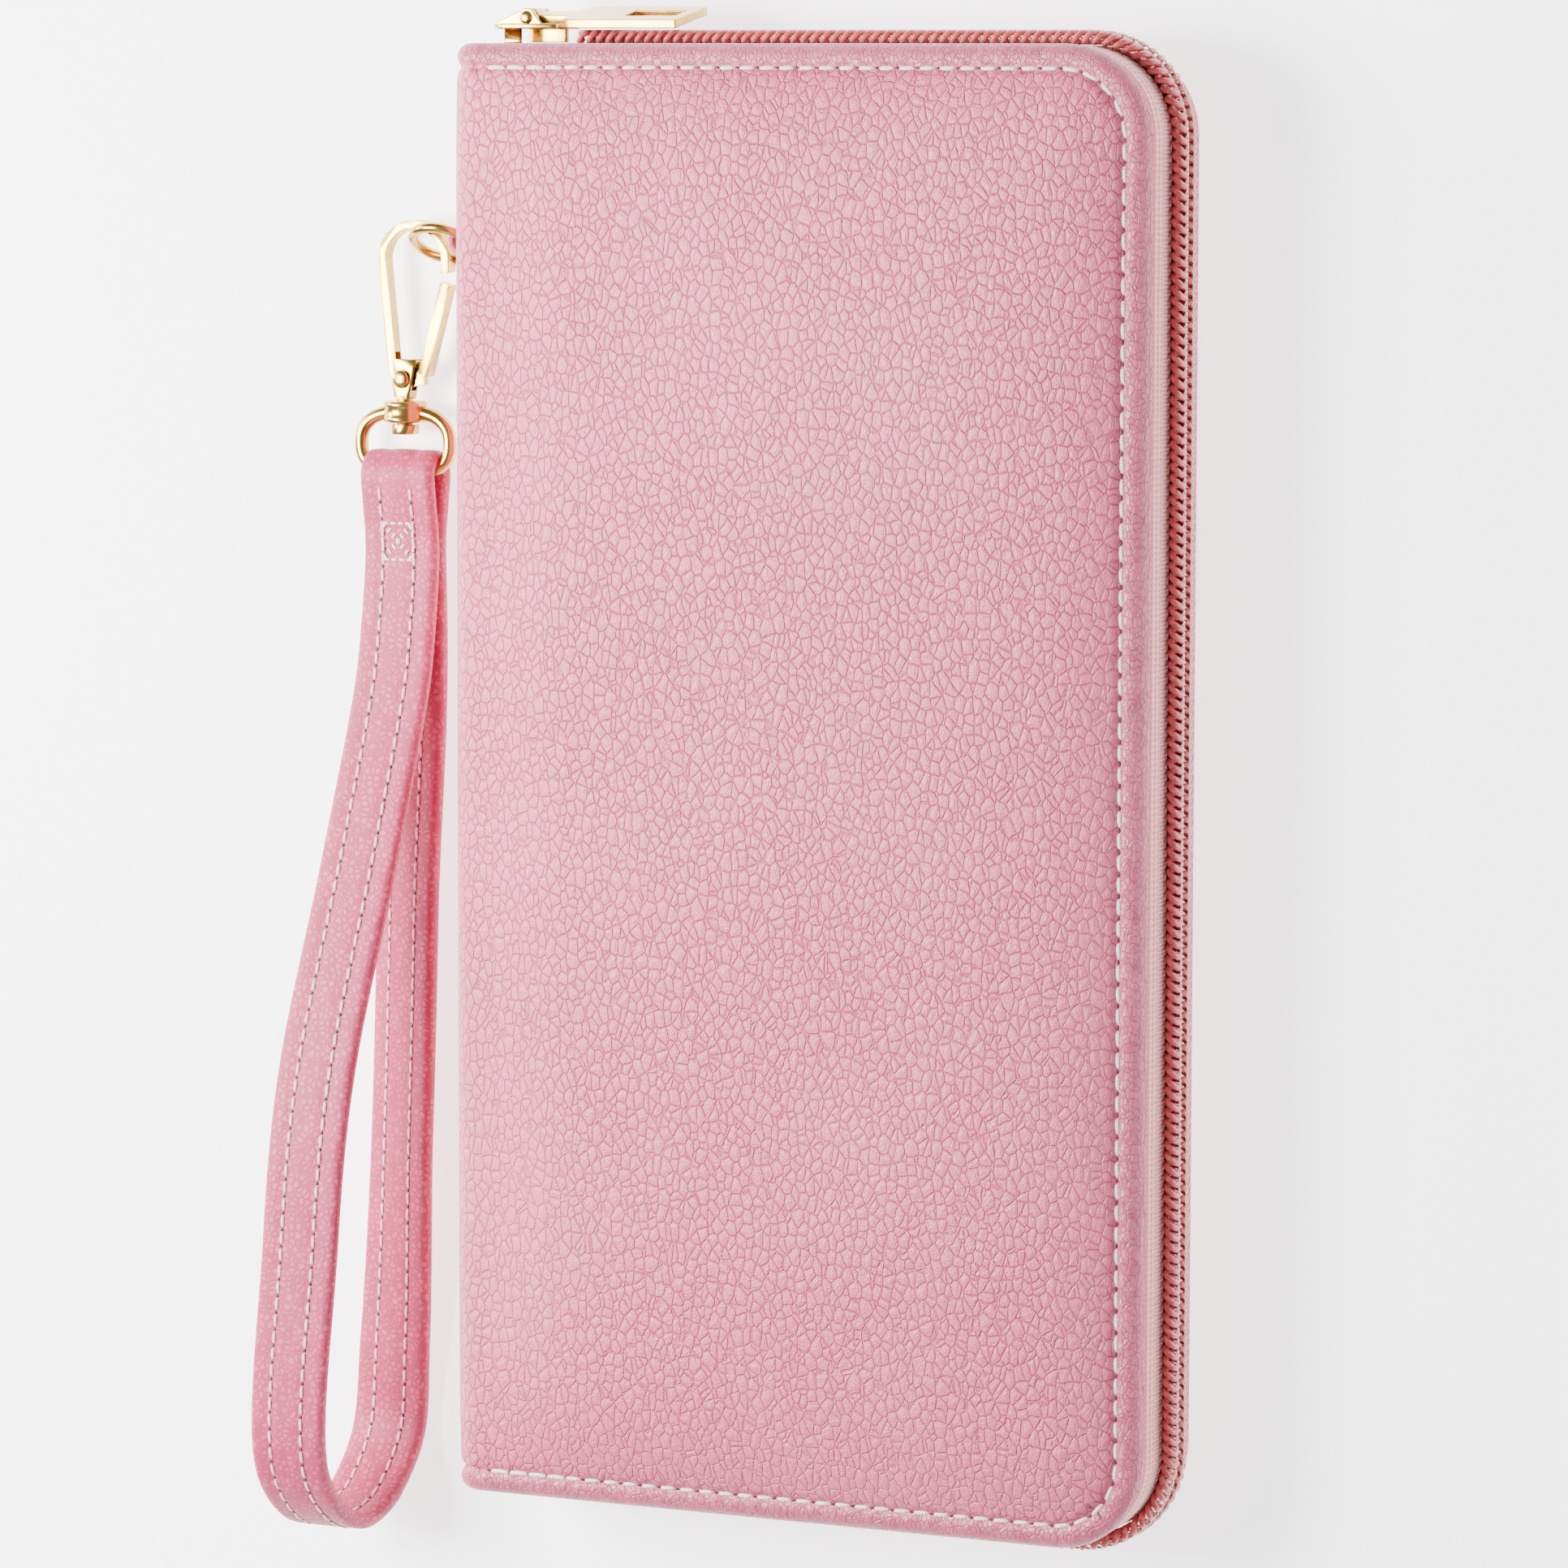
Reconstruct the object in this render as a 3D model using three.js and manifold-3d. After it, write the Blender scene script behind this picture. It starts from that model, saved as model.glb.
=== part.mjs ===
// Zip-around wristlet wallet, lying on its back cover. Millimetres, +Z up.
// X runs from the spine to the long zip side, Y along the length, Z through the thickness.
// The origin is the centre of the back cover's outer face. The front half opens about the
// middle of the spine's outer face, and the strap hangs from a ring beside the spine.
import * as THREE from "three";
import { mergeVertices } from "three/addons/utils/BufferGeometryUtils.js";
import Module from "manifold-3d";

const wasm = await Module();
wasm.setup();

// ---- overall sizes
const LENGTH = 195; // along the spine
const WIDTH = 100; // spine to the covers' long edge
const THICKNESS = 22; // closed, outer face to outer face
const CORNER_RADIUS = 12; // cover corners on the zip side
const SPINE_CORNER = 2; // small rounding of the corners at the spine
const GAP = 0.3; // clearance between pieces that touch

// ---- one half: cover, board, lining and pockets, from the outside in
const LEATHER = 1.6;
const BOARD = 0.8;
const LINING = 0.6;
const BILL_ROOM = 1.0;
const PANEL = 0.5;
const SLOT_ROOM = 0.45;
const SLOT_COUNT = 3;
const SLOT_STEP = 12; // how far each card slot is set back from the one under it
const SLOT_SETBACK = 14; // from the long edge to the deepest slot
const PANEL_SETBACK = 6; // from the long edge to the bill panel
const PANEL_END = 4.5; // from the short edges to every panel

// ---- zip round three sides
const TAPE = 0.8;
const CHAIN_PROUD = 1.6; // coil top beyond the cover edge
const COIL_HEIGHT = 1.5;
const CHAIN_WIDTH = 5.4; // both coils side by side
const CHAIN_SPLIT = 1.6; // room between the two coils for the slider's post
const TAPE_SPLIT = 3.2; // room between the two tapes
const COIL_START = 14.4; // spine to the first tooth, past the parked slider
const COIL_END = 6; // spine to the last tooth, at the other end
const STOP_LENGTH = 2;

// ---- slider and pull
const SLIDER_LENGTH = 10.6;
const SLIDER_WIDTH = 9.2;
const SLIDER_UNDER_WIDTH = 5.2; // of the plate behind the tapes
const SLIDER_PLATE = 0.7;
const SLIDER_CENTRE = 7.7; // spine to the parked slider's middle
const POST_WIDTH = 1;
const EAR = 0.9;
const PULL_THICKNESS = 1.2;
const PULL_NECK = 3.4;
const PULL_WIDTH = 10;
const PULL_LENGTH = 23; // pin to far end
const PULL_SLOT = [7.6, 4]; // slot length and width
const PULL_TILT = 10; // degrees, the loose pull leans towards the front
const PIN_RADIUS = 0.7;
const PIN_CLEARANCE = 0.15;
const EYE_WALL = 0.4; // round the pin, in the pull and in the slider's ears

// ---- coin pocket page between the halves
const PAGE_THICKNESS = 4.8;
const PAGE_START = 4.5; // spine to the page
const PAGE_SETBACK = 20; // long edge to the page
const PAGE_END = 8; // short edges to the page
const COIN_SCALE = 0.62; // the coin pocket's zip against the main one

// ---- ring, hook and D-ring beside the spine
const RING_RADIUS = 4.2; // to the middle of the wire
const RING_WIRE = 0.7; // wire radius
const RING_LEAN = 58; // degrees from lying flat
const RING_DROP = 27; // below the wallet's top edge
const RING_REACH = 9.5; // spine to the ring's centre
const RING_HEIGHT = 5;
const TAB_WIDTH = 4;
const TAB_WALL = 0.7;
const HOOK_REACH = 16.2; // spine to the hook's long axis
const HOOK_HEIGHT = 3.6; // of the hook's mid-plane
const BOW_RADIUS = 5.45;
const BOW_OFFSET = 1.85; // the bow's centre sits towards the gate
const BOW_BAR = 1.2;
const HOOK_DEPTH = 2;
const BOW_DROP = 29.3; // below the top edge, to the bow's centre
const RIVET_DROP = 45.6;
const PLATE_WIDTH = 4.3;
const PLATE_LENGTH = 5.4;
const GATE_BAR = 1.5;
const GATE_TIP = 3.2; // from the bow's centre down to the gate's tip
const RIVET_RADIUS = 0.65;
const RIVET_HEAD = 1.25;
const RIVET_HEAD_HEIGHT = 0.4;
const NECK_RADIUS = 1.1;
const HOUSING_LENGTH = 2.9;
const HOUSING_RADIUS = 3;
const KNOB_RADIUS = 1.9;
const KNOB_LENGTH = 1.3;
const DRING_WIDTH = 15.6;
const DRING_WIRE = 1; // wire radius
const DRING_BEND = 3.4; // its upper corners; the lower ones are half as round
const DRING_DROP = 8.6; // housing's middle to the D-ring's bar

// ---- wrist strap
const STRAP_WIDTH = 11;
const STRAP_THICKNESS = 2.2;
const STRAP_LENGTH = 145; // D-ring bar to the far bend
const STRAP_SEWN = 12; // length sewn together under the D-ring
const STRAP_RISE = 24.5; // height of the upper strand's middle line at its crest
const STRAP_SWAY = 5.6; // how far the far bend lies away from the spine
const STRAP_LEAN = 0.2; // sideways shift for each millimetre of height

// ---- places worked out from the sizes
const MIDDLE = THICKNESS / 2;
const SPINE_X = -WIDTH / 2;
const EDGE_X = WIDTH / 2;
const TOP_Y = LENGTH / 2;
const COVER_EDGE = LEATHER + GAP + BOARD + GAP + LINING;
const COIL_BASE = CHAIN_PROUD - COIL_HEIGHT;
const TAPE_OUT = COIL_BASE - GAP;

const root = new THREE.Group();

// ---- colours
const finish = (color, roughness, metalness = 0) =>
  new THREE.MeshStandardMaterial({ color, roughness, metalness });
const LEATHER_PINK = finish(0xdfa6b8, 0.5);
const LINING_PINK = finish(0xd9a3ac, 0.8);
const BOARD_GREY = finish(0xc9c4bc, 0.9);
const TAPE_PINK = finish(0xe0a5a5, 0.85);
const COIL_CORAL = finish(0xdd8480, 0.45);
const PALE_GOLD = finish(0xe3c98f, 0.22, 1);

function add(name, geometry, material) {
  const mesh = new THREE.Mesh(geometry, material);
  mesh.name = name;
  root.add(mesh);
  return mesh;
}

// ---- solids
function toSolid(geometry) {
  const bare = geometry.clone();
  bare.deleteAttribute("normal");
  bare.deleteAttribute("uv");
  const merged = mergeVertices(bare, 1e-4);
  return new wasm.Manifold(
    new wasm.Mesh({
      numProp: 3,
      vertProperties: merged.attributes.position.array,
      triVerts: new Uint32Array(merged.index.array),
    }),
  );
}

function toGeometry(solid) {
  const mesh = solid.getMesh();
  return new THREE.BufferGeometry()
    .setAttribute("position", new THREE.BufferAttribute(mesh.vertProperties, 3))
    .setIndex(new THREE.BufferAttribute(mesh.triVerts, 1));
}

// Joins the first list of geometries and cuts the second list out of them.
function combine(joined, cut = []) {
  let solid = toSolid(joined[0]);
  for (const piece of joined.slice(1)) {
    solid = solid.add(toSolid(piece));
  }
  for (const piece of cut) {
    solid = solid.subtract(toSolid(piece));
  }
  return toGeometry(solid);
}

// A shape in the XY plane, extruded from z0 to z1.
function plate(shape, z0, z1, curveSegments = 6) {
  return new THREE.ExtrudeGeometry(shape, {
    depth: z1 - z0,
    bevelEnabled: false,
    curveSegments,
  }).translate(0, 0, z0);
}

function block(x, y, z) {
  return new THREE.BoxGeometry(x[1] - x[0], y[1] - y[0], z[1] - z[0]).translate(
    (x[0] + x[1]) / 2,
    (y[0] + y[1]) / 2,
    (z[0] + z[1]) / 2,
  );
}

// A cylinder whose axis runs along Y or Z through a point.
function rod(radius, length, axis, centre, sides = 16) {
  const cylinder = new THREE.CylinderGeometry(radius, radius, length, sides);
  if (axis === "z") cylinder.rotateX(Math.PI / 2);
  return cylinder.translate(...centre);
}

function hole(x, y, radius) {
  return new THREE.Path().absarc(x, y, radius, 0, 2 * Math.PI, true);
}

function rectangle(x0, y0, x1, y1) {
  return new THREE.Shape([
    new THREE.Vector2(x0, y0),
    new THREE.Vector2(x1, y0),
    new THREE.Vector2(x1, y1),
    new THREE.Vector2(x0, y1),
  ]);
}

// A closed outline of constant width along a list of points.
function ribbon(points, width) {
  const sides = [[], []];
  points.forEach((point, i) => {
    const before = points[Math.max(i - 1, 0)];
    const after = points[Math.min(i + 1, points.length - 1)];
    const along = after.clone().sub(before).normalize();
    const across = new THREE.Vector2(-along.y, along.x).multiplyScalar(width / 2);
    sides[0].push(point.clone().sub(across));
    sides[1].push(point.clone().add(across));
  });
  return new THREE.Shape([...sides[0], ...sides[1].reverse()]);
}

// ---- the two halves
// The cover's outline, drawn in by an inset on every side.
function coverOutline(inset) {
  const x0 = SPINE_X + inset;
  const x1 = EDGE_X - inset;
  const y = TOP_Y - inset;
  const r = Math.max(CORNER_RADIUS - inset, 0.5);
  const s = Math.max(SPINE_CORNER - inset, 0.3);
  const outline = new THREE.Shape();
  outline.moveTo(x0 + s, -y);
  outline.lineTo(x1 - r, -y);
  outline.absarc(x1 - r, -y + r, r, -Math.PI / 2, 0, false);
  outline.absarc(x1 - r, y - r, r, 0, Math.PI / 2, false);
  outline.absarc(x0 + s, y - s, s, Math.PI / 2, Math.PI, false);
  outline.absarc(x0 + s, -y + s, s, Math.PI, 1.5 * Math.PI, false);
  return outline;
}

// A band that follows the cover's edge round the three zip sides, between two distances
// beyond that edge, and starts and ends at a distance from the spine.
function zipBand(inner, outer, startTop, startBottom) {
  const side = (offset, backwards) => {
    const r = CORNER_RADIUS + offset;
    const x = EDGE_X - CORNER_RADIUS;
    const y = TOP_Y - CORNER_RADIUS;
    const steps = [...Array(9).keys()].map((k) => (k * Math.PI) / 16);
    const points = [new THREE.Vector2(SPINE_X + startBottom, -y - r)];
    for (const a of steps) {
      points.push(new THREE.Vector2(x + r * Math.sin(a), -y - r * Math.cos(a)));
    }
    for (const a of steps) {
      points.push(new THREE.Vector2(x + r * Math.cos(a), y + r * Math.sin(a)));
    }
    points.push(new THREE.Vector2(SPINE_X + startTop, y + r));
    return backwards ? points.reverse() : points;
  };
  return new THREE.Shape([...side(outer, false), ...side(inner, true)]);
}

function panelOutline(start, setback) {
  const y = TOP_Y - PANEL_END;
  return rectangle(SPINE_X + start, -y, EDGE_X - setback, y);
}

// Builds one half. Heights are counted from its own outer face, and level() places them.
function makeHalf(prefix, level) {
  const slab = (shape, low, high) => plate(shape, ...level(low, high));
  const spineWall = rectangle(
    SPINE_X,
    -TOP_Y + SPINE_CORNER,
    SPINE_X + LEATHER,
    TOP_Y - SPINE_CORNER,
  );
  const cover = combine(
    [slab(coverOutline(0), 0, COVER_EDGE), slab(spineWall, 0, MIDDLE - GAP / 2)],
    [slab(coverOutline(LEATHER), LEATHER, COVER_EDGE + GAP)],
  );
  add(prefix + "_cover", cover, LEATHER_PINK);

  const insideX = LEATHER + GAP;
  let height = LEATHER + GAP;
  add(prefix + "_board", slab(coverOutline(insideX), height, height + BOARD), BOARD_GREY);
  height += BOARD + GAP;
  const liningWall = rectangle(
    SPINE_X + insideX,
    -TOP_Y + insideX + CORNER_RADIUS,
    SPINE_X + insideX + LINING,
    TOP_Y - insideX - CORNER_RADIUS,
  );
  const lining = combine([
    slab(coverOutline(insideX), height, height + LINING),
    slab(liningWall, height, MIDDLE - GAP / 2),
  ]);
  add(prefix + "_lining", lining, LINING_PINK);

  const pocketX = insideX + LINING + GAP;
  height = COVER_EDGE + BILL_ROOM;
  add(
    prefix + "_bill_panel",
    slab(panelOutline(pocketX, PANEL_SETBACK), height, height + PANEL),
    LINING_PINK,
  );
  for (let k = 0; k < SLOT_COUNT; k++) {
    height += PANEL + SLOT_ROOM;
    const shape = panelOutline(pocketX, SLOT_SETBACK + k * SLOT_STEP);
    add(prefix + "_card_slot_" + (k + 1), slab(shape, height, height + PANEL), LEATHER_PINK);
  }

  const tape = zipBand(TAPE_OUT - TAPE, TAPE_OUT, insideX, insideX);
  add(prefix + "_zip_tape", slab(tape, COVER_EDGE + GAP, MIDDLE - TAPE_SPLIT / 2), TAPE_PINK);
  const coil = zipBand(COIL_BASE, CHAIN_PROUD, COIL_START, COIL_END);
  const coilLow = MIDDLE - CHAIN_WIDTH / 2;
  const coilHigh = MIDDLE - CHAIN_SPLIT / 2;
  add(prefix + "_zip_coil", slab(coil, coilLow, coilHigh), COIL_CORAL);
  const stop = rectangle(
    SPINE_X + COIL_END - GAP - STOP_LENGTH,
    -TOP_Y - CHAIN_PROUD,
    SPINE_X + COIL_END - GAP,
    -TOP_Y - COIL_BASE,
  );
  add(prefix + "_zip_stop", slab(stop, coilLow, coilHigh), PALE_GOLD);
}

makeHalf("back", (low, high) => [low, high]);
makeHalf("front", (low, high) => [THICKNESS - high, THICKNESS - low]);

// ---- zip sliders
// A slider in its own frame: it travels along X, its top faces +Y, the chain's middle is the
// X axis and y = 0 is the edge that the chain stands on. The post is at its -X end.
function sliderGeometry(k) {
  const half = SLIDER_LENGTH / 2;
  const wide = SLIDER_WIDTH / 2;
  const underWide = SLIDER_UNDER_WIDTH / 2;
  const under = CHAIN_PROUD + GAP;
  const nose = wide * 0.8; // half width at the closing end
  const outline = new THREE.Shape();
  outline.moveTo(-half, -wide * 0.72);
  outline.quadraticCurveTo(-half, -wide, -half * 0.5, -wide);
  outline.lineTo(half * 0.8, -nose);
  outline.quadraticCurveTo(half, -nose, half, -wide * 0.5);
  outline.lineTo(half, wide * 0.5);
  outline.quadraticCurveTo(half, nose, half * 0.8, nose);
  outline.lineTo(-half * 0.5, wide);
  outline.quadraticCurveTo(-half, wide, -half, wide * 0.72);
  outline.closePath();
  const layer = (y0, y1) => plate(outline, y0, y1, 3).rotateX(-Math.PI / 2);
  const inner = TAPE_OUT - TAPE - GAP;
  const pinY = pinHeight();
  const bossRadius = PIN_RADIUS + PIN_CLEARANCE + EYE_WALL;
  const ear = new THREE.Shape();
  ear.moveTo(-half * 0.9, under + SLIDER_PLATE / 2);
  ear.lineTo(half * 0.5, under + SLIDER_PLATE / 2);
  ear.lineTo(bossRadius * 0.9, pinY + bossRadius * 0.3);
  ear.lineTo(-bossRadius * 0.6, pinY + bossRadius * 0.75);
  ear.closePath();
  const neckRoom = PULL_NECK / 2 + GAP;
  const earZ = neckRoom + EAR / 2;
  const sideZ = CHAIN_WIDTH / 2 + GAP;
  const ears = [-1, 1].flatMap((side) => [
    plate(ear, side * earZ - EAR / 2, side * earZ + EAR / 2),
    rod(bossRadius, EAR, "z", [0, pinY, side * earZ], 16),
  ]);
  return combine(
    [
      layer(under, under + SLIDER_PLATE),
      block([-half, half * 0.9], [inner - SLIDER_PLATE, inner], [-underWide, underWide]),
      block(
        [-half * 0.9, -half * 0.4],
        [inner - 0.1, under + 0.1],
        [-POST_WIDTH / 2, POST_WIDTH / 2],
      ),
      block([-half * 0.5, half * 0.6], [TAPE_OUT + GAP, under + 0.1], [-sideZ - EAR, -sideZ]),
      ...ears,
    ],
    [
      rod(PIN_RADIUS + PIN_CLEARANCE, 2 * SLIDER_WIDTH, "z", [0, pinY, 0], 12),
      block([-bossRadius - GAP, half + 1], [under - 0.1, pinY], [-neckRoom, neckRoom]),
    ],
  ).scale(k, k, k);
}

// The pin's height over the chain's foot: the leaning pull just clears the chain.
function pinHeight() {
  const dip = (PULL_WIDTH / 2) * Math.sin(THREE.MathUtils.degToRad(PULL_TILT));
  return CHAIN_PROUD + GAP + dip + PULL_THICKNESS / 2 + 0.05;
}

function pinGeometry(k) {
  const length = 2 * (PULL_NECK / 2 + GAP + EAR) + 0.4;
  return rod(PIN_RADIUS, length, "z", [0, pinHeight(), 0], 12).scale(k, k, k);
}

// The flat pull: a narrow eye between the ears and a wide bar with a slot near its end. The bar
// is turned a little about its own length.
function pullGeometry(k) {
  const neck = PULL_NECK / 2;
  const wide = PULL_WIDTH / 2;
  const barStart = SLIDER_LENGTH / 2 + 2 * GAP;
  const outline = new THREE.Shape();
  outline.moveTo(-neck * 0.9, -neck);
  outline.lineTo(barStart - 0.4, -neck);
  outline.lineTo(barStart + 1.4, -wide);
  outline.lineTo(PULL_LENGTH, -wide);
  outline.lineTo(PULL_LENGTH, wide);
  outline.lineTo(barStart + 1.4, wide);
  outline.lineTo(barStart - 0.4, neck);
  outline.lineTo(-neck * 0.9, neck);
  outline.closePath();
  const slotEnd = PULL_LENGTH - (PULL_WIDTH - PULL_SLOT[1]) / 4;
  const slot = rectangle(slotEnd - PULL_SLOT[0], -PULL_SLOT[1] / 2, slotEnd, PULL_SLOT[1] / 2);
  const bar = combine(
    [plate(outline, -PULL_THICKNESS / 2, PULL_THICKNESS / 2)],
    [plate(slot, -PULL_THICKNESS, PULL_THICKNESS)],
  );
  bar.rotateX(-Math.PI / 2 + THREE.MathUtils.degToRad(PULL_TILT));
  const bore = rod(PIN_RADIUS + PIN_CLEARANCE, 2 * PULL_WIDTH, "z", [0, 0, 0], 12);
  const eye = rod(PIN_RADIUS + PIN_CLEARANCE + EYE_WALL, PULL_NECK, "z", [0, 0, 0], 16);
  return combine([bar, eye], [bore]).translate(0, pinHeight(), 0).scale(k, k, k);
}

function addSlider(prefix, k, turn, place) {
  const parts = { body: sliderGeometry(k), pin: pinGeometry(k), pull: pullGeometry(k) };
  for (const [part, geometry] of Object.entries(parts)) {
    const mesh = add(prefix + "_" + part, geometry, PALE_GOLD);
    mesh.rotation.z = turn;
    mesh.position.set(...place);
  }
}
addSlider("zip_slider", 1, 0, [SPINE_X + SLIDER_CENTRE, TOP_Y, MIDDLE]);

// ---- coin pocket page
const pageX = [SPINE_X + PAGE_START, EDGE_X - PAGE_SETBACK];
const pageY = TOP_Y - PAGE_END;
const pageZ = [MIDDLE - PAGE_THICKNESS / 2, MIDDLE + PAGE_THICKNESS / 2];
const pocket = combine(
  [block(pageX, [-pageY, pageY], pageZ)],
  [
    block(
      [pageX[0] + PANEL, pageX[1] + 1],
      [-pageY + PANEL, pageY - PANEL],
      [pageZ[0] + PANEL, pageZ[1] - PANEL],
    ),
  ],
);
add("coin_pocket", pocket, LINING_PINK);

const coinTapeX = [pageX[1] + GAP + (TAPE_OUT - TAPE) * COIN_SCALE, pageX[1] + GAP];
const coinEdgeX = coinTapeX[1] - TAPE_OUT * COIN_SCALE;
const coinY = pageY - PANEL - GAP;
const coinSliderY = coinY - SLIDER_CENTRE * COIN_SCALE;
const coinCoilX = [coinEdgeX + COIL_BASE * COIN_SCALE, coinEdgeX + CHAIN_PROUD * COIN_SCALE];
for (const [side, sign] of [["back", -1], ["front", 1]]) {
  const span = (near, far) => [MIDDLE + sign * near, MIDDLE + sign * far].sort((a, b) => a - b);
  add(
    "coin_zip_" + side + "_tape",
    block(
      coinTapeX,
      [-coinY, coinY],
      span((TAPE_SPLIT / 2) * COIN_SCALE, PAGE_THICKNESS / 2 - PANEL - GAP),
    ),
    TAPE_PINK,
  );
  add(
    "coin_zip_" + side + "_coil",
    block(
      coinCoilX,
      [-coinY + COIL_END, coinY - COIL_START * COIN_SCALE],
      span((CHAIN_SPLIT / 2) * COIN_SCALE, (CHAIN_WIDTH / 2) * COIN_SCALE),
    ),
    COIL_CORAL,
  );
}
addSlider("coin_slider", COIN_SCALE, -Math.PI / 2, [coinEdgeX, coinSliderY, MIDDLE]);

// ---- ring and the leather tab that holds it
const lean = THREE.MathUtils.degToRad(RING_LEAN);
const ringCentre = new THREE.Vector3(SPINE_X - RING_REACH, TOP_Y - RING_DROP, RING_HEIGHT);
const ring = new THREE.TorusGeometry(RING_RADIUS, RING_WIRE, 10, 32).rotateX(lean);
add("ring", toGeometry(toSolid(ring.translate(...ringCentre))), PALE_GOLD);

// The tab's fold lies along the ring's wire where the ring is nearest to the spine.
const tabHole = RING_WIRE + TAB_WIDTH / 4 + GAP;
const tabOut = tabHole + TAB_WALL;
const tabShape = new THREE.Shape();
const tabReach = RING_REACH - RING_RADIUS;
tabShape.moveTo(-GAP, -tabOut);
tabShape.lineTo(-GAP, tabOut);
tabShape.lineTo(-tabReach, tabOut);
tabShape.absarc(-tabReach, 0, tabOut, Math.PI / 2, 1.5 * Math.PI, false);
tabShape.closePath();
tabShape.holes.push(hole(-tabReach, 0, tabHole));
const tab = plate(tabShape, -TAB_WIDTH / 2, TAB_WIDTH / 2, 8).rotateX(lean - Math.PI / 2);
add("ring_tab", tab.translate(SPINE_X, ringCentre.y, ringCentre.z), LEATHER_PINK);

// ---- snap hook: bow, plate, neck and knob in one casting
const hookX = SPINE_X - HOOK_REACH;
const bowX = hookX + BOW_OFFSET;
const bowY = TOP_Y - BOW_DROP;
const rivetY = TOP_Y - RIVET_DROP;
const plateTop = rivetY + PLATE_LENGTH / 2;
const plateBottom = rivetY - PLATE_LENGTH / 2;
const housingY = plateBottom - GAP - HOUSING_LENGTH / 2;
const knobY = housingY - HOUSING_LENGTH / 2 - GAP - KNOB_LENGTH / 2;
const hookZ = [HOOK_HEIGHT - HOOK_DEPTH / 2, HOOK_HEIGHT + HOOK_DEPTH / 2];
const barRadius = BOW_RADIUS - BOW_BAR / 2;

const bowPath = [new THREE.Vector2(hookX - PLATE_WIDTH / 2 + BOW_BAR / 2, plateTop - 1)];
for (let k = 0; k <= 14; k++) {
  const angle = Math.PI - (k / 14) * Math.PI;
  bowPath.push(
    new THREE.Vector2(bowX + barRadius * Math.cos(angle), bowY + barRadius * Math.sin(angle)),
  );
}
bowPath.push(new THREE.Vector2(bowX + barRadius, bowY - GATE_TIP + GATE_BAR));

const slotX = hookX + PLATE_WIDTH / 2;
const tongue = HOOK_DEPTH * 0.22; // half the thickness of the gate's tongue
const plateShape = new THREE.Shape();
plateShape.moveTo(hookX - PLATE_WIDTH / 2, plateTop);
plateShape.lineTo(hookX - NECK_RADIUS, plateBottom);
plateShape.lineTo(hookX + NECK_RADIUS, plateBottom);
plateShape.lineTo(slotX, plateTop);
plateShape.closePath();
plateShape.holes.push(hole(hookX, rivetY, RIVET_RADIUS + GAP));
const neckTop = plateBottom + 0.5;
const neckY = (neckTop + knobY) / 2;
const hook = combine(
  [
    plate(ribbon(bowPath, BOW_BAR), ...hookZ),
    plate(plateShape, ...hookZ),
    rod(NECK_RADIUS, neckTop - knobY, "y", [hookX, neckY, HOOK_HEIGHT]),
    rod(KNOB_RADIUS, KNOB_LENGTH, "y", [hookX, knobY, HOOK_HEIGHT]),
  ],
  [
    block(
      [hookX - RIVET_HEAD - GAP, slotX + 1],
      [rivetY - RIVET_HEAD - GAP, plateTop + 1],
      [HOOK_HEIGHT - tongue - GAP, HOOK_HEIGHT + tongue + GAP],
    ),
  ],
);
add("hook_body", hook, PALE_GOLD);

const gateTip = new THREE.Vector2(bowX + barRadius, bowY - GATE_TIP);
const gateFoot = new THREE.Vector2(slotX + GAP + GATE_BAR / 2, rivetY + 0.6);
const gateShape = ribbon([gateTip, gateFoot], GATE_BAR);
const tongueShape = ribbon([gateFoot, new THREE.Vector2(hookX, rivetY)], 2 * RIVET_HEAD);
const gate = combine(
  [
    plate(gateShape, ...hookZ),
    plate(tongueShape, HOOK_HEIGHT - tongue, HOOK_HEIGHT + tongue),
    rod(RIVET_HEAD, 2 * tongue, "z", [hookX, rivetY, HOOK_HEIGHT]),
  ],
  [rod(RIVET_RADIUS + GAP, 3 * HOOK_DEPTH, "z", [hookX, rivetY, HOOK_HEIGHT])],
);
add("gate", gate, PALE_GOLD);

const headZ = HOOK_DEPTH / 2 + GAP + RIVET_HEAD_HEIGHT / 2;
const rivet = combine([
  rod(RIVET_RADIUS, 2 * headZ, "z", [hookX, rivetY, HOOK_HEIGHT]),
  rod(RIVET_HEAD, RIVET_HEAD_HEIGHT, "z", [hookX, rivetY, HOOK_HEIGHT + headZ]),
  rod(RIVET_HEAD, RIVET_HEAD_HEIGHT, "z", [hookX, rivetY, HOOK_HEIGHT - headZ]),
]);
add("gate_rivet", rivet, PALE_GOLD);

// ---- swivel housing with its D-ring
const barY = housingY - DRING_DROP;
const dringHalf = DRING_WIDTH / 2 - DRING_WIRE;
const gapInWire = HOUSING_RADIUS * 0.6; // the wire's ends are inside the housing
const dringPath = new THREE.CurvePath();
const point = (x, y) => new THREE.Vector3(hookX + x, y, HOOK_HEIGHT);
const corner = (a, b, c) => dringPath.add(new THREE.QuadraticBezierCurve3(a, b, c));
const line = (a, b) => dringPath.add(new THREE.LineCurve3(a, b));
line(point(-gapInWire, housingY), point(-dringHalf + DRING_BEND, housingY));
corner(
  point(-dringHalf + DRING_BEND, housingY),
  point(-dringHalf, housingY),
  point(-dringHalf, housingY - DRING_BEND),
);
line(point(-dringHalf, housingY - DRING_BEND), point(-dringHalf, barY + DRING_BEND / 2));
corner(
  point(-dringHalf, barY + DRING_BEND / 2),
  point(-dringHalf, barY),
  point(-dringHalf + DRING_BEND / 2, barY),
);
line(point(-dringHalf + DRING_BEND / 2, barY), point(dringHalf - DRING_BEND / 2, barY));
corner(
  point(dringHalf - DRING_BEND / 2, barY),
  point(dringHalf, barY),
  point(dringHalf, barY + DRING_BEND / 2),
);
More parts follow.
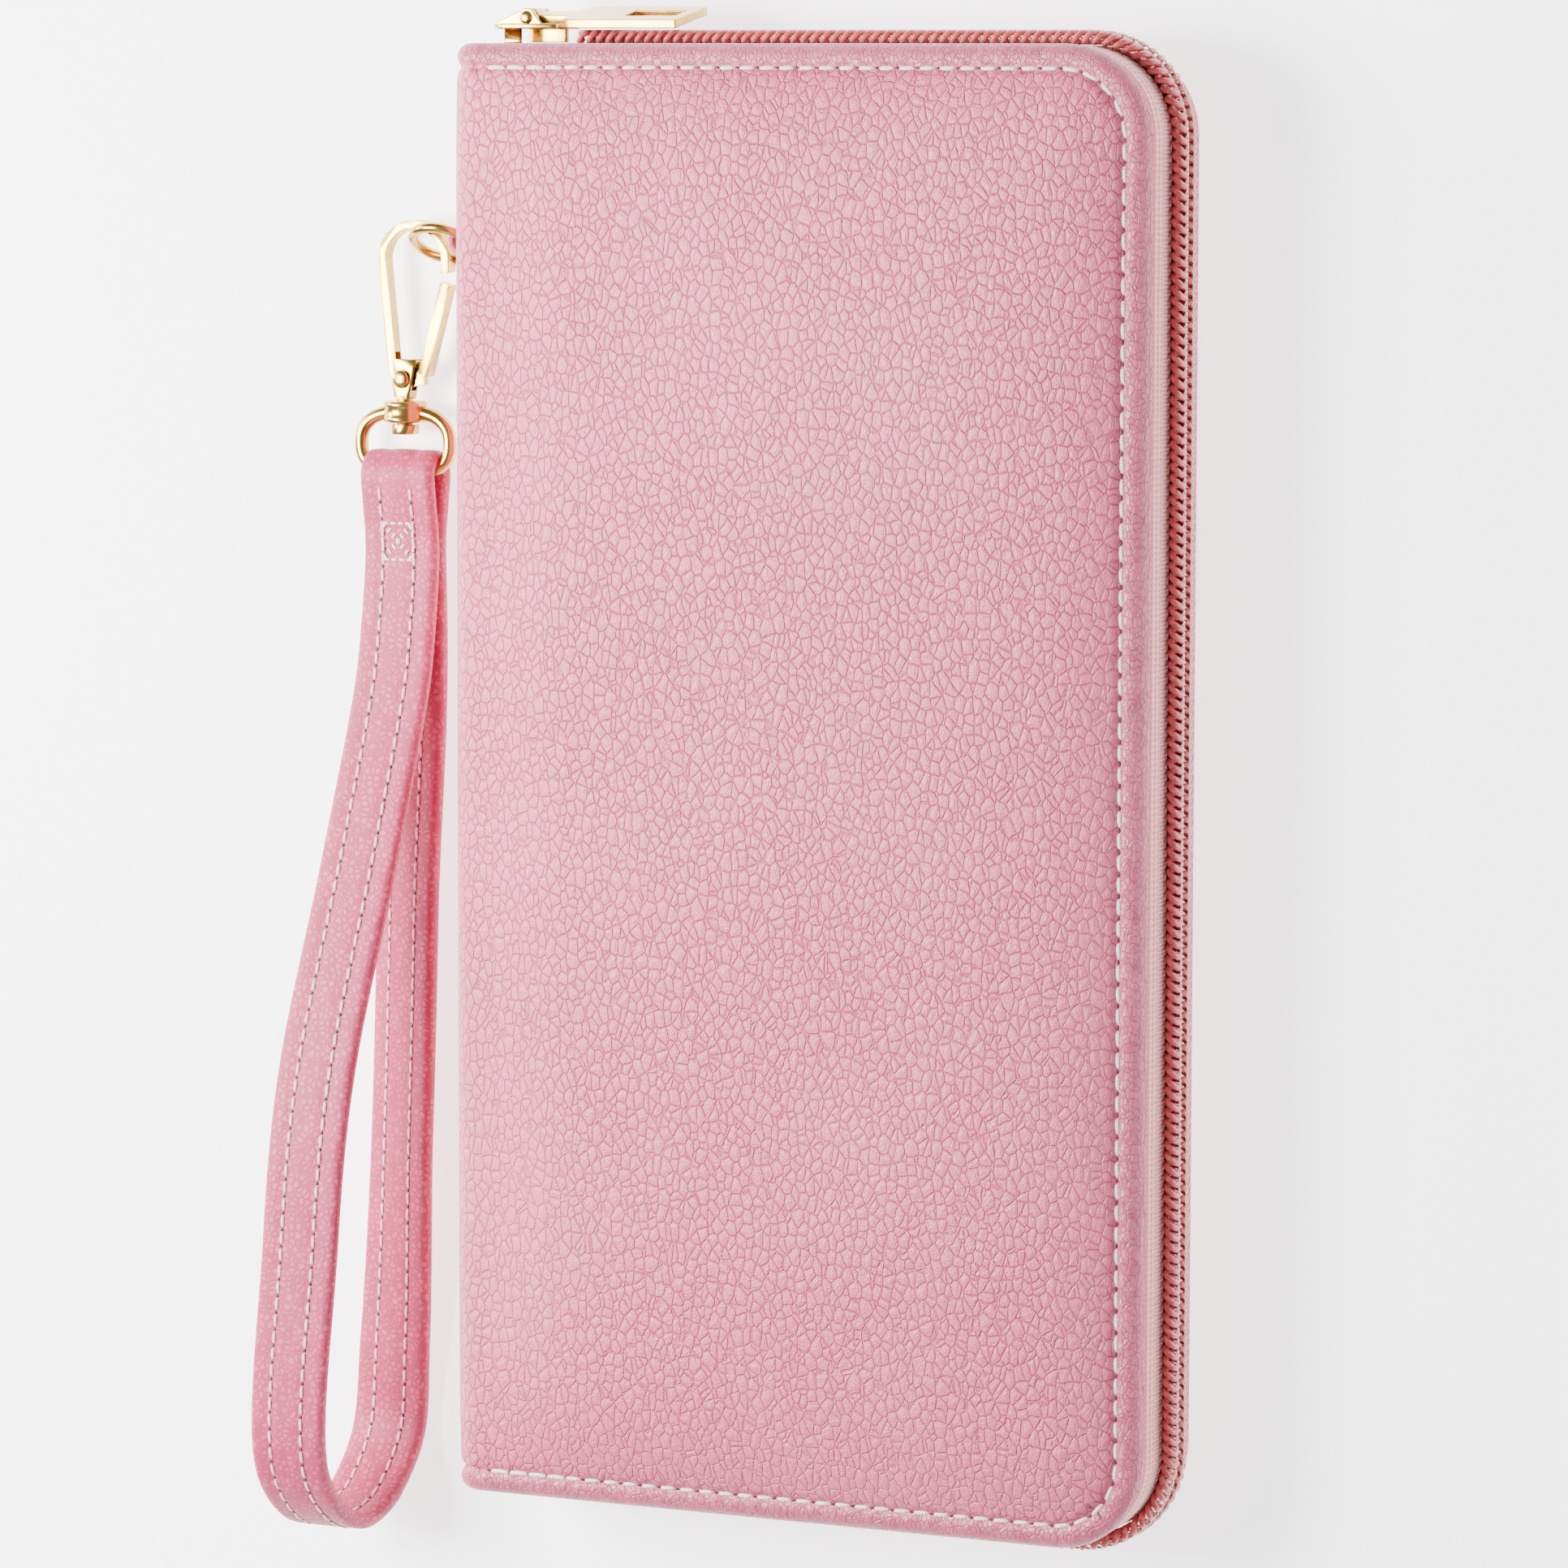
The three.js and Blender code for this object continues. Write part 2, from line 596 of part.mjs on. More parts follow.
line(point(dringHalf, barY + DRING_BEND / 2), point(dringHalf, housingY - DRING_BEND));
corner(
  point(dringHalf, housingY - DRING_BEND),
  point(dringHalf, housingY),
  point(dringHalf - DRING_BEND, housingY),
);
line(point(dringHalf - DRING_BEND, housingY), point(gapInWire, housingY));
const wireSection = new THREE.Shape().absarc(0, 0, DRING_WIRE, 0, 2 * Math.PI, false);
const dringWire = new THREE.ExtrudeGeometry(wireSection, {
  steps: 56,
  curveSegments: 5,
  bevelEnabled: false,
  extrudePath: dringPath,
});
const swivel = combine(
  [
    dringWire,
    rod(HOUSING_RADIUS, HOUSING_LENGTH, "y", [hookX, housingY, HOOK_HEIGHT], 20),
  ],
  [rod(NECK_RADIUS + GAP, HOUSING_LENGTH + 1, "y", [hookX, housingY, HOOK_HEIGHT])],
);
add("swivel_d_ring", swivel, PALE_GOLD);

// ---- wrist strap
// Drawn from the side in the YZ plane: both strands, the far bend and the sewn end, with one
// hole for the D-ring's bar and one for the wrist.
const strapEnd = barY - STRAP_LENGTH;
const half = STRAP_THICKNESS / 2;
const barHole = DRING_WIRE + GAP;
const sewnY = barY - STRAP_SEWN;
const bendLow = half + 0.05;
const bendRadius = STRAP_RISE / 2;
const strapCurve = new THREE.CatmullRomCurve3(
  [
    [sewnY, HOOK_HEIGHT + half],
    [barY - STRAP_LENGTH * 0.19, HOOK_HEIGHT + 3.6],
    [barY - STRAP_LENGTH * 0.36, STRAP_RISE * 0.58],
    [barY - STRAP_LENGTH * 0.56, STRAP_RISE * 0.92],
    [barY - STRAP_LENGTH * 0.72, STRAP_RISE],
    [strapEnd + bendRadius * 0.72, STRAP_RISE * 0.93],
    [strapEnd + half, STRAP_RISE * 0.52],
    [strapEnd + bendRadius * 0.8, bendLow + 0.9],
    [strapEnd + bendRadius * 2, bendLow],
    [barY - STRAP_LENGTH * 0.5, bendLow],
    [barY - STRAP_LENGTH * 0.25, bendLow],
    [sewnY, HOOK_HEIGHT - half],
  ].map(([y, z]) => new THREE.Vector3(y, z, 0)),
  false,
  "centripetal",
);
const middleLine = strapCurve.getPoints(66).map((p) => new THREE.Vector2(p.x, p.y));
const offsetLine = (distance) =>
  middleLine.map((p, i) => {
    const before = middleLine[Math.max(i - 1, 0)];
    const after = middleLine[Math.min(i + 1, middleLine.length - 1)];
    const along = after.clone().sub(before).normalize();
    return new THREE.Vector2(p.x - along.y * distance, Math.max(p.y + along.x * distance, 0.05));
  });
const outer = offsetLine(-half);
const inner = offsetLine(half - 0.02);
const eyeRadius = barHole + STRAP_THICKNESS - 0.05;
const fold = [...Array(13).keys()].map((k) => {
  const angle = -Math.PI / 2 + (k / 12) * Math.PI;
  const y = barY + eyeRadius * Math.cos(angle);
  return new THREE.Vector2(y, HOOK_HEIGHT + eyeRadius * Math.sin(angle));
});
const strapShape = new THREE.Shape([...outer.slice(1, -1), ...fold]);
strapShape.holes.push(new THREE.Path(inner.slice(1, -1)));
strapShape.holes.push(hole(barY, HOOK_HEIGHT, barHole));
// The side view's first axis becomes Y and its second Z, and the width runs along X.
const strap = plate(strapShape, -STRAP_WIDTH / 2, STRAP_WIDTH / 2, 8)
  .rotateX(Math.PI / 2)
  .rotateZ(Math.PI / 2);
const spots = strap.attributes.position;
for (let i = 0; i < spots.count; i++) {
  const along = Math.max((barY - spots.getY(i)) / STRAP_LENGTH, 0);
  const above = Math.max(spots.getZ(i) - HOOK_HEIGHT - eyeRadius, 0);
  const sway = STRAP_SWAY * along ** 3 + STRAP_LEAN * above;
  spots.setX(i, hookX + spots.getX(i) - sway);
}
add("wrist_strap", strap, LEATHER_PINK);

export default root;
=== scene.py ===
# %% [markdown]
# # A zip-around wristlet wallet
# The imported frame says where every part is. Each cell below models one real piece of the
# wallet, as numpy surfaces in millimetres that are turned into metres when a mesh is made.

# %% the frame
import bmesh
import bpy
import numpy as np
from mathutils import Matrix, Vector


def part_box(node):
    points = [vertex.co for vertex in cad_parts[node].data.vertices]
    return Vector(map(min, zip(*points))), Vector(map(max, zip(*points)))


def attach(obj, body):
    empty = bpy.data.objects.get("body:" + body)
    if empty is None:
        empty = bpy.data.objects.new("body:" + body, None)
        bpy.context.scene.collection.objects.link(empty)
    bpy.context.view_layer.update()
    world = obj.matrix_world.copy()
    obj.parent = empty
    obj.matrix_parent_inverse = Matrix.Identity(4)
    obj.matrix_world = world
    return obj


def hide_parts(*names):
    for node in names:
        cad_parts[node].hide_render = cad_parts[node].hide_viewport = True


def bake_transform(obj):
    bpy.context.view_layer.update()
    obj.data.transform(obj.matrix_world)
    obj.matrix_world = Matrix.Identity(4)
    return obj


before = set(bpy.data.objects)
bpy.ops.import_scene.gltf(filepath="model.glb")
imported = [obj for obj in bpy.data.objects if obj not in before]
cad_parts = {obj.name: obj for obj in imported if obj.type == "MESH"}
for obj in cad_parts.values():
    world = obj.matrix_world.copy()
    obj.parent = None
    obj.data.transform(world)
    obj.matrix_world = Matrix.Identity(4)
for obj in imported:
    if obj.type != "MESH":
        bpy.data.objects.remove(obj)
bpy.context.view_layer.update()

MM = 0.001
TAU = 2 * np.pi


def cad(node):
    """A CAD node's lowest and highest corners, in millimetres."""
    low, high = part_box(node)
    return np.array(low) / MM, np.array(high) / MM


cover_low, cover_high = cad("front_cover")
TOP = cover_high[2]  # height of the front face
SPINE, EDGE = cover_low[0], cover_high[0]
END = cover_high[1]  # half the length
MIDDLE = TOP / 2
CORNER = 12.0  # radius of the outline's corners
print("wallet", EDGE - SPINE, "x", 2 * END, "x", TOP, "mm")

# %% [markdown]
# ## Tools for surfaces
# Nearly everything here is a grid of points: a sheet of leather, a wire swept along a path, a
# turned knob. One function makes the quads of a grid, another makes the mesh, merges its poles
# and seams and turns its faces outwards.


# %% grids and meshes
def grid_quads(rows, columns, wrap_rows=False, wrap_columns=False):
    """Corner indices of a grid's quads; a wrapped direction joins its last line to its first."""
    i = np.arange(rows if wrap_rows else rows - 1)[:, None]
    j = np.arange(columns if wrap_columns else columns - 1)[None, :]
    a = i * columns + j
    b = i * columns + (j + 1) % columns
    c = ((i + 1) % rows) * columns + (j + 1) % columns
    d = ((i + 1) % rows) * columns + j
    return np.stack([a, b, c, d], -1).reshape(-1, 4)


def make(name, points, quads, material, along=None, across=None, merge=1e-4):
    """A mesh object from points in millimetres. along and across are kept as attributes."""
    points = np.asarray(points, float).reshape(-1, 3) * MM
    mesh = bpy.data.meshes.new(name)
    mesh.vertices.add(len(points))
    mesh.vertices.foreach_set("co", points.ravel())
    mesh.loops.add(quads.size)
    mesh.loops.foreach_set("vertex_index", quads.ravel().astype(np.int32))
    mesh.polygons.add(len(quads))
    mesh.polygons.foreach_set("loop_start", np.arange(0, quads.size, 4, dtype=np.int32))
    mesh.update(calc_edges=True)
    for label, values in (("along", along), ("across", across)):
        if values is not None:
            layer = mesh.attributes.new(label, "FLOAT", "POINT")
            layer.data.foreach_set("value", np.asarray(values, np.float32).ravel())
    shell = bmesh.new()
    shell.from_mesh(mesh)
    if merge:
        bmesh.ops.remove_doubles(shell, verts=shell.verts, dist=merge * MM)
    bmesh.ops.dissolve_degenerate(shell, edges=shell.edges, dist=1e-9)
    bmesh.ops.recalc_face_normals(shell, faces=shell.faces)
    shell.to_mesh(mesh)
    shell.free()
    return shown(name, mesh, material)


def directions(path, closed=False):
    """Unit tangents of a path of points, by central differences."""
    if closed:
        step = np.roll(path, -1, 0) - np.roll(path, 1, 0)
    else:
        step = np.gradient(path, axis=0)
    return step / np.linalg.norm(step, axis=1, keepdims=True)


def sweep(path, first, second, section, closed=False):
    """Grid of a section carried along a path: point + a * first + b * second for each (a, b)."""
    section = np.asarray(section, float)
    grid = (
        path[:, None, :]
        + section[None, :, 0, None] * first[:, None, :]
        + section[None, :, 1, None] * second[:, None, :]
    )
    if not closed:
        grid = np.concatenate([path[None, :1].repeat(len(section), 1), grid,
                               path[None, -1:].repeat(len(section), 1)])
    return grid, grid_quads(len(grid), len(section), wrap_rows=closed, wrap_columns=True)


def circle(radius, sides=12):
    """Points of a circle, counter-clockwise."""
    angle = np.arange(sides) / sides * TAU
    return np.stack([radius * np.cos(angle), radius * np.sin(angle)], -1)


def rounded_box(width, height, radius, steps=3):
    """Points of a rectangle with round corners, counter-clockwise, centred on zero."""
    turn = np.linspace(0, np.pi / 2, steps + 1)
    corners = [(1, 1, 0), (-1, 1, 1), (-1, -1, 2), (1, -1, 3)]
    parts = []
    for sx, sy, quarter in corners:
        angle = turn + quarter * np.pi / 2
        parts.append(np.stack([sx * (width / 2 - radius) + radius * np.cos(angle),
                               sy * (height / 2 - radius) + radius * np.sin(angle)], -1))
    return np.concatenate(parts)


def lathe(name, profile, centre, axis, material, sides=40):
    """A profile of (radius, height) turned about an axis through a centre."""
    axis = np.asarray(axis, float)
    side = np.cross(axis, [0.3, 0.5, 0.8])
    side /= np.linalg.norm(side)
    other = np.cross(axis, side)
    profile = np.asarray(profile, float)
    ring = circle(1.0, sides)
    turned = ring[None, :, 0, None] * side + ring[None, :, 1, None] * other
    grid = np.asarray(centre) + profile[:, 0, None, None] * turned + profile[:, 1, None, None] * axis
    return make(name, grid, grid_quads(len(profile), sides, wrap_columns=True), material)


def shown(name, mesh, material):
    """A smooth-shaded object of a mesh, with its material."""
    mesh.polygons.foreach_set("use_smooth", np.ones(len(mesh.polygons), bool))
    mesh.materials.append(material)
    piece = bpy.data.objects.new(name, mesh)
    bpy.context.collection.objects.link(piece)
    return piece


def finished(name, mesh, material, place, bevel, segments=2, angle=32):
    """Places a mesh made in its own frame, turns its faces outwards and rounds its sharp edges.
    place turns (a, b, height) rows into points."""
    corners = np.zeros(len(mesh.vertices) * 3)
    mesh.vertices.foreach_get("co", corners)
    mesh.vertices.foreach_set("co", (place(corners.reshape(-1, 3)) * MM).ravel())
    mesh.update()
    shell = bmesh.new()
    shell.from_mesh(mesh)
    bmesh.ops.recalc_face_normals(shell, faces=shell.faces)
    shell.to_mesh(mesh)
    shell.free()
    piece = shown(name, mesh, material)
    if bevel:
        edge = piece.modifiers.new("edge", "BEVEL")
        edge.width, edge.segments, edge.limit_method = bevel * MM, segments, "ANGLE"
        edge.angle_limit = np.radians(angle)
        edge.harden_normals = True
    return piece


def slab(name, outline, low, high, material, place, bevel=0.2):
    """A flat outline given a thickness from low to high, its edges rounded."""
    outline = np.asarray(outline, float)
    count = len(outline)
    levels = [np.column_stack([outline, np.full(count, h)]) for h in (low, high)]
    rim = [(k, (k + 1) % count, count + (k + 1) % count, count + k) for k in range(count)]
    faces = rim + [tuple(range(count))[::-1], tuple(range(count, 2 * count))]
    mesh = bpy.data.meshes.new(name)
    mesh.from_pydata(np.concatenate(levels), [], faces)
    return finished(name, mesh, material, place, bevel, angle=35)


def fit(piece, body, slot, *nodes):
    """The piece rides on a body and stands for the CAD nodes named; slot is not used."""
    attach(piece, body)
    if nodes:
        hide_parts(*nodes)
    return piece


def smooth(value, low, high):
    """Smoothstep: 0 below low, 1 above high."""
    t = np.clip((value - low) / (high - low), 0, 1)
    return t * t * (3 - 2 * t)


print("surface tools ready")

# %% [markdown]
# ## Shader maths as Python
# A small class wraps a node socket, so that a pattern can be written as an expression. Every
# other kind of node comes from one method.


# %% sockets and nodes
class Field:
    """A socket of a material's node tree that can be added, subtracted and multiplied."""

    def __init__(self, shader, socket):
        self.shader, self.socket = shader, socket

    def maths(self, operation, *values):
        return self.shader.node("ShaderNodeMath", {"operation": operation}, *values)

    def __add__(self, other): return self.maths("ADD", self, other)
    def __radd__(self, other): return self.maths("ADD", other, self)
    def __sub__(self, other): return self.maths("SUBTRACT", self, other)
    def __rsub__(self, other): return self.maths("SUBTRACT", other, self)
    def __mul__(self, other): return self.maths("MULTIPLY", self, other)
    def __rmul__(self, other): return self.maths("MULTIPLY", other, self)
    def sin(self): return self.maths("SINE", self)
    def wave(self, period): return (self * (TAU / period)).sin()
    def absolute(self): return self.maths("ABSOLUTE", self)

    def ramp(self, low, high):
        """0 below low, 1 above high, smooth between."""
        return self.shader.node("ShaderNodeMapRange", {"interpolation_type": "SMOOTHSTEP"},
                                self, low, high, 0.0, 1.0)


class Shader:
    """A material with a Principled surface, and the means to add nodes to it."""

    def __init__(self, name, **constants):
        self.material = bpy.data.materials.new(name)
        self.material.use_nodes = True
        self.tree = self.material.node_tree
        self.surface = self.tree.nodes["Principled BSDF"]
        for socket, value in constants.items():
            self.surface.inputs[socket.replace("_", " ")].default_value = value

    def node(self, kind, settings, *values, output=0, **named):
        made = self.tree.nodes.new(kind)
        for key, value in settings.items():
            setattr(made, key, value)
        for key, value in [*enumerate(values), *named.items()]:
            socket = made.inputs[key if isinstance(key, int) else key.replace("_", " ")]
            if isinstance(value, Field):
                self.tree.links.new(value.socket, socket)
            else:
                socket.default_value = value
        return Field(self, made.outputs[output])

    def coordinates(self, scale=(1, 1, 1)):
        """Object coordinates in millimetres, stretched by a scale."""
        place = self.node("ShaderNodeTexCoord", {}, output=3)
        return self.node("ShaderNodeMapping", {"vector_type": "POINT"}, place,
                         Scale=tuple(s / MM for s in scale))

    def attribute(self, label):
        return self.node("ShaderNodeAttribute", {"attribute_name": label}, output="Fac")

    def noise(self, vector, size, detail=3.0, roughness=0.5):
        """Soft random values whose patches are about size millimetres wide."""
        return self.node("ShaderNodeTexNoise", {}, Vector=vector, Scale=1 / size,
                         Detail=detail, Roughness=roughness)

    def cells(self, vector, size):
        """Distance to the edge of random cells about size millimetres wide."""
        return self.node("ShaderNodeTexVoronoi", {"feature": "DISTANCE_TO_EDGE"},
                         Vector=vector, Scale=1 / size)

    def mix(self, amount, first, second):
        """A blend of two colours, each a colour or a link."""
        made = self.tree.nodes.new("ShaderNodeMix")
        made.data_type = "RGBA"
        for index, value in ((0, amount), (6, first), (7, second)):
            if isinstance(value, Field):
                self.tree.links.new(value.socket, made.inputs[index])
            else:
                made.inputs[index].default_value = (*value, 1) if index else value
        return Field(self, made.outputs[2])

    def bump(self, height, depth, strength=1.0):
        """Normals bent by a height field; depth is its size in millimetres."""
        return self.node("ShaderNodeBump", {}, Height=height, Distance=depth * MM,
                         Strength=strength)

    def feed(self, **links):
        for socket, field in links.items():
            self.tree.links.new(field.socket, self.surface.inputs[socket.replace("_", " ")])
        return self.material


def linear(red, green, blue):
    """A colour given as 0 to 255 values on screen, as the shader wants it."""
    value = np.array([red, green, blue]) / 255
    return tuple(float(v) for v in
                 np.where(value <= 0.04045, value / 12.92, ((value + 0.055) / 1.055) ** 2.4))


print("shader tools ready")

# %% [markdown]
# ## Materials
# Pebbled pink leather, its smoother rolled edge, lining cloth, woven zip tape, glossy nylon
# coils, sewing thread and pale gold metal. All patterns are measured in millimetres.

# %% leather, cloth, nylon, thread and metal
def leather_material(name, light, deep):
    """Pebbles are Voronoi cells with dark valleys; fine noise wrinkles each pebble."""
    shader = Shader(name, Roughness=0.45, Specular_IOR_Level=0.45, Sheen_Weight=0.15)
    place = shader.coordinates()
    sway = shader.node("ShaderNodeTexNoise", {}, Vector=place, Scale=0.35, Detail=2.0, output=1)
    bent = shader.node("ShaderNodeVectorMath", {"operation": "MULTIPLY_ADD"}, sway,
                       (1.3, 1.3, 1.3), place)
    large = shader.cells(bent, 1.4).ramp(0.0, 0.12)
    small = shader.cells(bent, 0.72).ramp(0.0, 0.15)
    wrinkle = shader.noise(place, 0.5, detail=6.0, roughness=0.7)
    tint = shader.noise(place, 26.0, detail=2.0)
    pebble = large * 0.5 + small * 0.22 + wrinkle * 0.45
    valley = shader.mix(pebble.ramp(0.25, 0.95), deep, light)
    warm = tuple(min(c * s, 1) for c, s in zip(light, (1.0, 0.9, 0.93)))
    color = shader.mix(tint.ramp(0.42, 0.72) * 0.35, valley, warm)
    roughness = 0.56 - pebble * 0.17 + wrinkle * 0.06
    return shader.feed(Base_Color=color, Roughness=roughness,
                       Normal=shader.bump(pebble, 0.156, strength=0.85))


def edge_material(name, light, deep):
    """Smoother leather for rolled edges and the strap: shallow grain, a few creases."""
    shader = Shader(name, Roughness=0.5, Specular_IOR_Level=0.35)
    place = shader.coordinates()
    pores = shader.cells(place, 0.9).ramp(0.0, 0.35)
    crease = shader.noise(shader.coordinates((1, 0.35, 1)), 1.7, detail=6.0, roughness=0.6)
    height = pores * 0.35 + crease * 0.8
    color = shader.mix(height.ramp(0.35, 1.0), deep, light)
    return shader.feed(Base_Color=color, Roughness=0.5 + crease * 0.12 - pores * 0.07,
                       Normal=shader.bump(height, 0.13, strength=0.7))


def cloth_material(name, light, deep, thread=0.42):
    """Plain weave: two crossed waves and a little fuzz."""
    shader = Shader(name, Roughness=0.85, Sheen_Weight=0.3)
    place = shader.coordinates()
    parts = shader.node("ShaderNodeSeparateXYZ", {}, place)
    other = Field(shader, parts.socket.node.outputs[1])
    depth = Field(shader, parts.socket.node.outputs[2])
    weave = (parts + depth).wave(thread) * other.wave(thread)
    fuzz = shader.noise(place, 0.3, detail=4.0)
    slub = shader.noise(shader.coordinates((0.06, 1, 1)), 0.9, detail=2.0)
    height = weave * 0.35 + fuzz * 0.4 + slub * 0.3
    color = shader.mix(height.ramp(0.0, 0.8), deep, light)
    return shader.feed(Base_Color=color, Roughness=0.78 + fuzz * 0.15,
                       Normal=shader.bump(height, 0.09, strength=0.8))


def tape_material(name, light, deep):
    """Zip tape: knitted rows along the tape, ribs near the coil. Uses its own along and
    across values."""
    shader = Shader(name, Roughness=0.8, Sheen_Weight=0.35)
    along, across = shader.attribute("along"), shader.attribute("across")
    rows = across.wave(1.15) * 0.3 + along.wave(0.8) * across.wave(2.3).absolute() * 0.35
    ribs = along.wave(0.52) * 0.5 + (along + across * 1.4).wave(1.04) * 0.25
    beyond = across.ramp(3.2, 3.9)
    fuzz = shader.noise(shader.coordinates(), 0.25, detail=4.0)
    height = rows * (1.0 - beyond) + ribs * beyond + fuzz * 0.4
    color = shader.mix(height.ramp(-0.35, 0.75), deep, light)
    return shader.feed(Base_Color=color, Roughness=0.72 + fuzz * 0.2,
                       Normal=shader.bump(height, 0.24, strength=1.0))


def nylon_material(name, light, deep):
    """Glossy moulded nylon, mottled lighter and darker in soft patches."""
    shader = Shader(name, Roughness=0.32, Specular_IOR_Level=0.5, Coat_Weight=0.15,
                    Coat_Roughness=0.25)
    mottled = shader.noise(shader.coordinates(), 0.8, detail=3.0)
    scuffs = shader.noise(shader.coordinates(), 0.12, detail=2.0)
    color = shader.mix(mottled.ramp(0.3, 0.7), deep, light)
    return shader.feed(Base_Color=color, Roughness=0.26 + scuffs * 0.16,
                       Normal=shader.bump(scuffs, 0.02))


def thread_material(name, light, deep):
    """Twisted thread: a slanting ply wave along each stitch."""
    shader = Shader(name, Roughness=0.6, Sheen_Weight=0.3)
    along, across = shader.attribute("along"), shader.attribute("across")
    ply = (along + across * 0.5).wave(0.42)
    fuzz = shader.noise(shader.coordinates(), 0.12, detail=3.0)
    color = shader.mix((ply * 0.5 + fuzz).ramp(0.0, 1.0), deep, light)
    return shader.feed(Base_Color=color, Roughness=0.5 + fuzz * 0.2,
                       Normal=shader.bump(ply * 0.5 + fuzz * 0.4, 0.05))


def gold_material(name, light, deep, rough):
    """Plated metal: broad soft variation, fine scratches along one direction."""
    shader = Shader(name, Metallic=1.0, Roughness=rough)
    broad = shader.noise(shader.coordinates(), 5.0, detail=3.0)
    scratch = shader.noise(shader.coordinates((0.08, 1.6, 1.6)), 0.35, detail=4.0)
    color = shader.mix((broad * 0.7 + scratch * 0.3).ramp(0.3, 0.75), deep, light)
    return shader.feed(Base_Color=color, Roughness=rough - 0.06 + broad * 0.1 + scratch * 0.08,
                       Normal=shader.bump(scratch, 0.008))


PINK_INSIDE = leather_material("pebbled leather inside", linear(228, 142, 164),
                               linear(188, 84, 110))
EDGE_LEATHER = edge_material("edge leather", linear(214, 120, 146), linear(178, 82, 108))
STRAP_LEATHER = edge_material("strap leather", linear(212, 92, 124), linear(170, 56, 88))
LINING = cloth_material("lining cloth", linear(226, 150, 164), linear(198, 112, 130))
BOARD = cloth_material("card board", linear(205, 198, 188), linear(178, 170, 160), thread=1.3)
TAPE = tape_material("zip tape", linear(250, 176, 172), linear(206, 112, 118))
NYLON = nylon_material("coil nylon", linear(222, 110, 108), linear(190, 78, 84))
WHITE_THREAD = thread_material("white thread", linear(250, 246, 246), linear(222, 212, 214))
COIL_THREAD = thread_material("coil thread", linear(252, 226, 218), linear(226, 180, 172))
PINK_THREAD = thread_material("pink thread", linear(246, 214, 220), linear(226, 172, 184))
# painted shade: a dark colour for small marks that stand for the shade inside the stitch holes
HOLE_SHADE = edge_material("needle hole painted shade", linear(98, 46, 60), linear(72, 32, 44))
GOLD = gold_material("pale gold", linear(218, 180, 98), linear(182, 144, 68), rough=0.19)
print(len(bpy.data.materials), "materials")

# %% [markdown]
# ## The cover leather
# One sheet of leather is folded round the spine. Flat, it is a rectangle with round corners;
# `s` runs across it from the back's long edge to the front's, and `y` along the wallet. Its
# edge is turned in over the board as a roll, a seam lies just inside the roll, and the middle
# is gently padded. The inner face is the same sheet seen from inside.

# %% folding a flat sheet round the spine
FOLD = 4.0  # radius of the spine's corners
SPINE_FLAT = MIDDLE - FOLD
BEND = FOLD * np.pi / 2
SHEET = SPINE_FLAT + BEND + (EDGE - SPINE) - FOLD  # half the sheet's width
ROLL = 1.8  # radius of the rolled edge
SEAM = 3.2  # from the edge to the stitches
PITCH = 2.85  # stitch length
TUCK = 1.3  # how far the back's lower edge is tucked in
TUCK_REACH, TUCK_DEPTH = 8.0, 4.5  # how far in from the edge, and up it, the tuck fades
PAD, PAD_REACH = 2.7, 5.5  # the padding's rise inside the seam, and how soon it gets there
CROWN = 2.2  # what the middle adds to it
LEATHER = 1.6  # thickness of the sheet over the board
TURNED_IN = 3.6  # depth of the edge where the leather is turned in


def fold(s, y, depth):
    """Point of the folded sheet. s and y are flat places and depth is counted inwards from
    the outer plane: straight up the spine, a quarter circle, then flat."""
    side = np.where(s < 0, -1.0, 1.0)
    t = np.abs(s)
    turn = np.clip((t - SPINE_FLAT) / FOLD, 0, np.pi / 2)
    x = SPINE + FOLD * (1 - np.cos(turn)) + np.maximum(t - SPINE_FLAT - BEND, 0)
    z = np.minimum(t, SPINE_FLAT) + FOLD * np.sin(turn)
    x, z = x + depth * np.cos(turn), z - depth * np.sin(turn)
    tuck = TUCK * (side < 0) * (1 - smooth(depth, 0, TUCK_DEPTH))
    x = x - tuck * (1 - smooth(SHEET - t, 0, TUCK_REACH))
    ends = 1 - smooth(END - np.abs(y), 0, TUCK_REACH)
    y = y - tuck * np.sign(y) * ends * smooth(x, SPINE, SPINE + 20)
    return np.stack(np.broadcast_arrays(x, y, MIDDLE + side * z), -1)


def crown(s, y, d):
    """How far the padded leather stands out of the flat plane, in millimetres."""
    front = smooth(s, SPINE_FLAT + 2, SPINE_FLAT + BEND + 16)
    along = 1 - (np.abs(y) / END) ** 3
    across = np.sin(np.pi * np.clip((s - SPINE_FLAT) / (SHEET - SPINE_FLAT), 0, 1)) ** 0.8
    puff = 1 - np.exp(-np.maximum(d - SEAM, 0) / PAD_REACH)
    wavy = 0.12 * np.sin(y / 17 + s / 23) + 0.08 * np.sin(y / 9.1 - s / 13 + 1.3)
    rise = PAD * puff + CROWN * across * along + wavy * puff
    return front * rise + (1 - front) * smooth(s, -SPINE_FLAT, 0) * 0.25 * puff


def outer_depth(s, y, d):
    """Depth of the outer face: a quarter-round roll, a seam groove and the crown."""
    roll = ROLL - np.sqrt(np.maximum(ROLL**2 - (ROLL - np.minimum(d, ROLL)) ** 2, 0))
    groove = 0.5 * np.exp(-(((d - SEAM) / 0.62) ** 2))
    back = smooth(-s, SPINE_FLAT, SPINE_FLAT + BEND)
    settle = 0.22 * back * (1 - smooth(d, SEAM, SEAM + 2))
    return roll + groove + settle - crown(s, y, d)


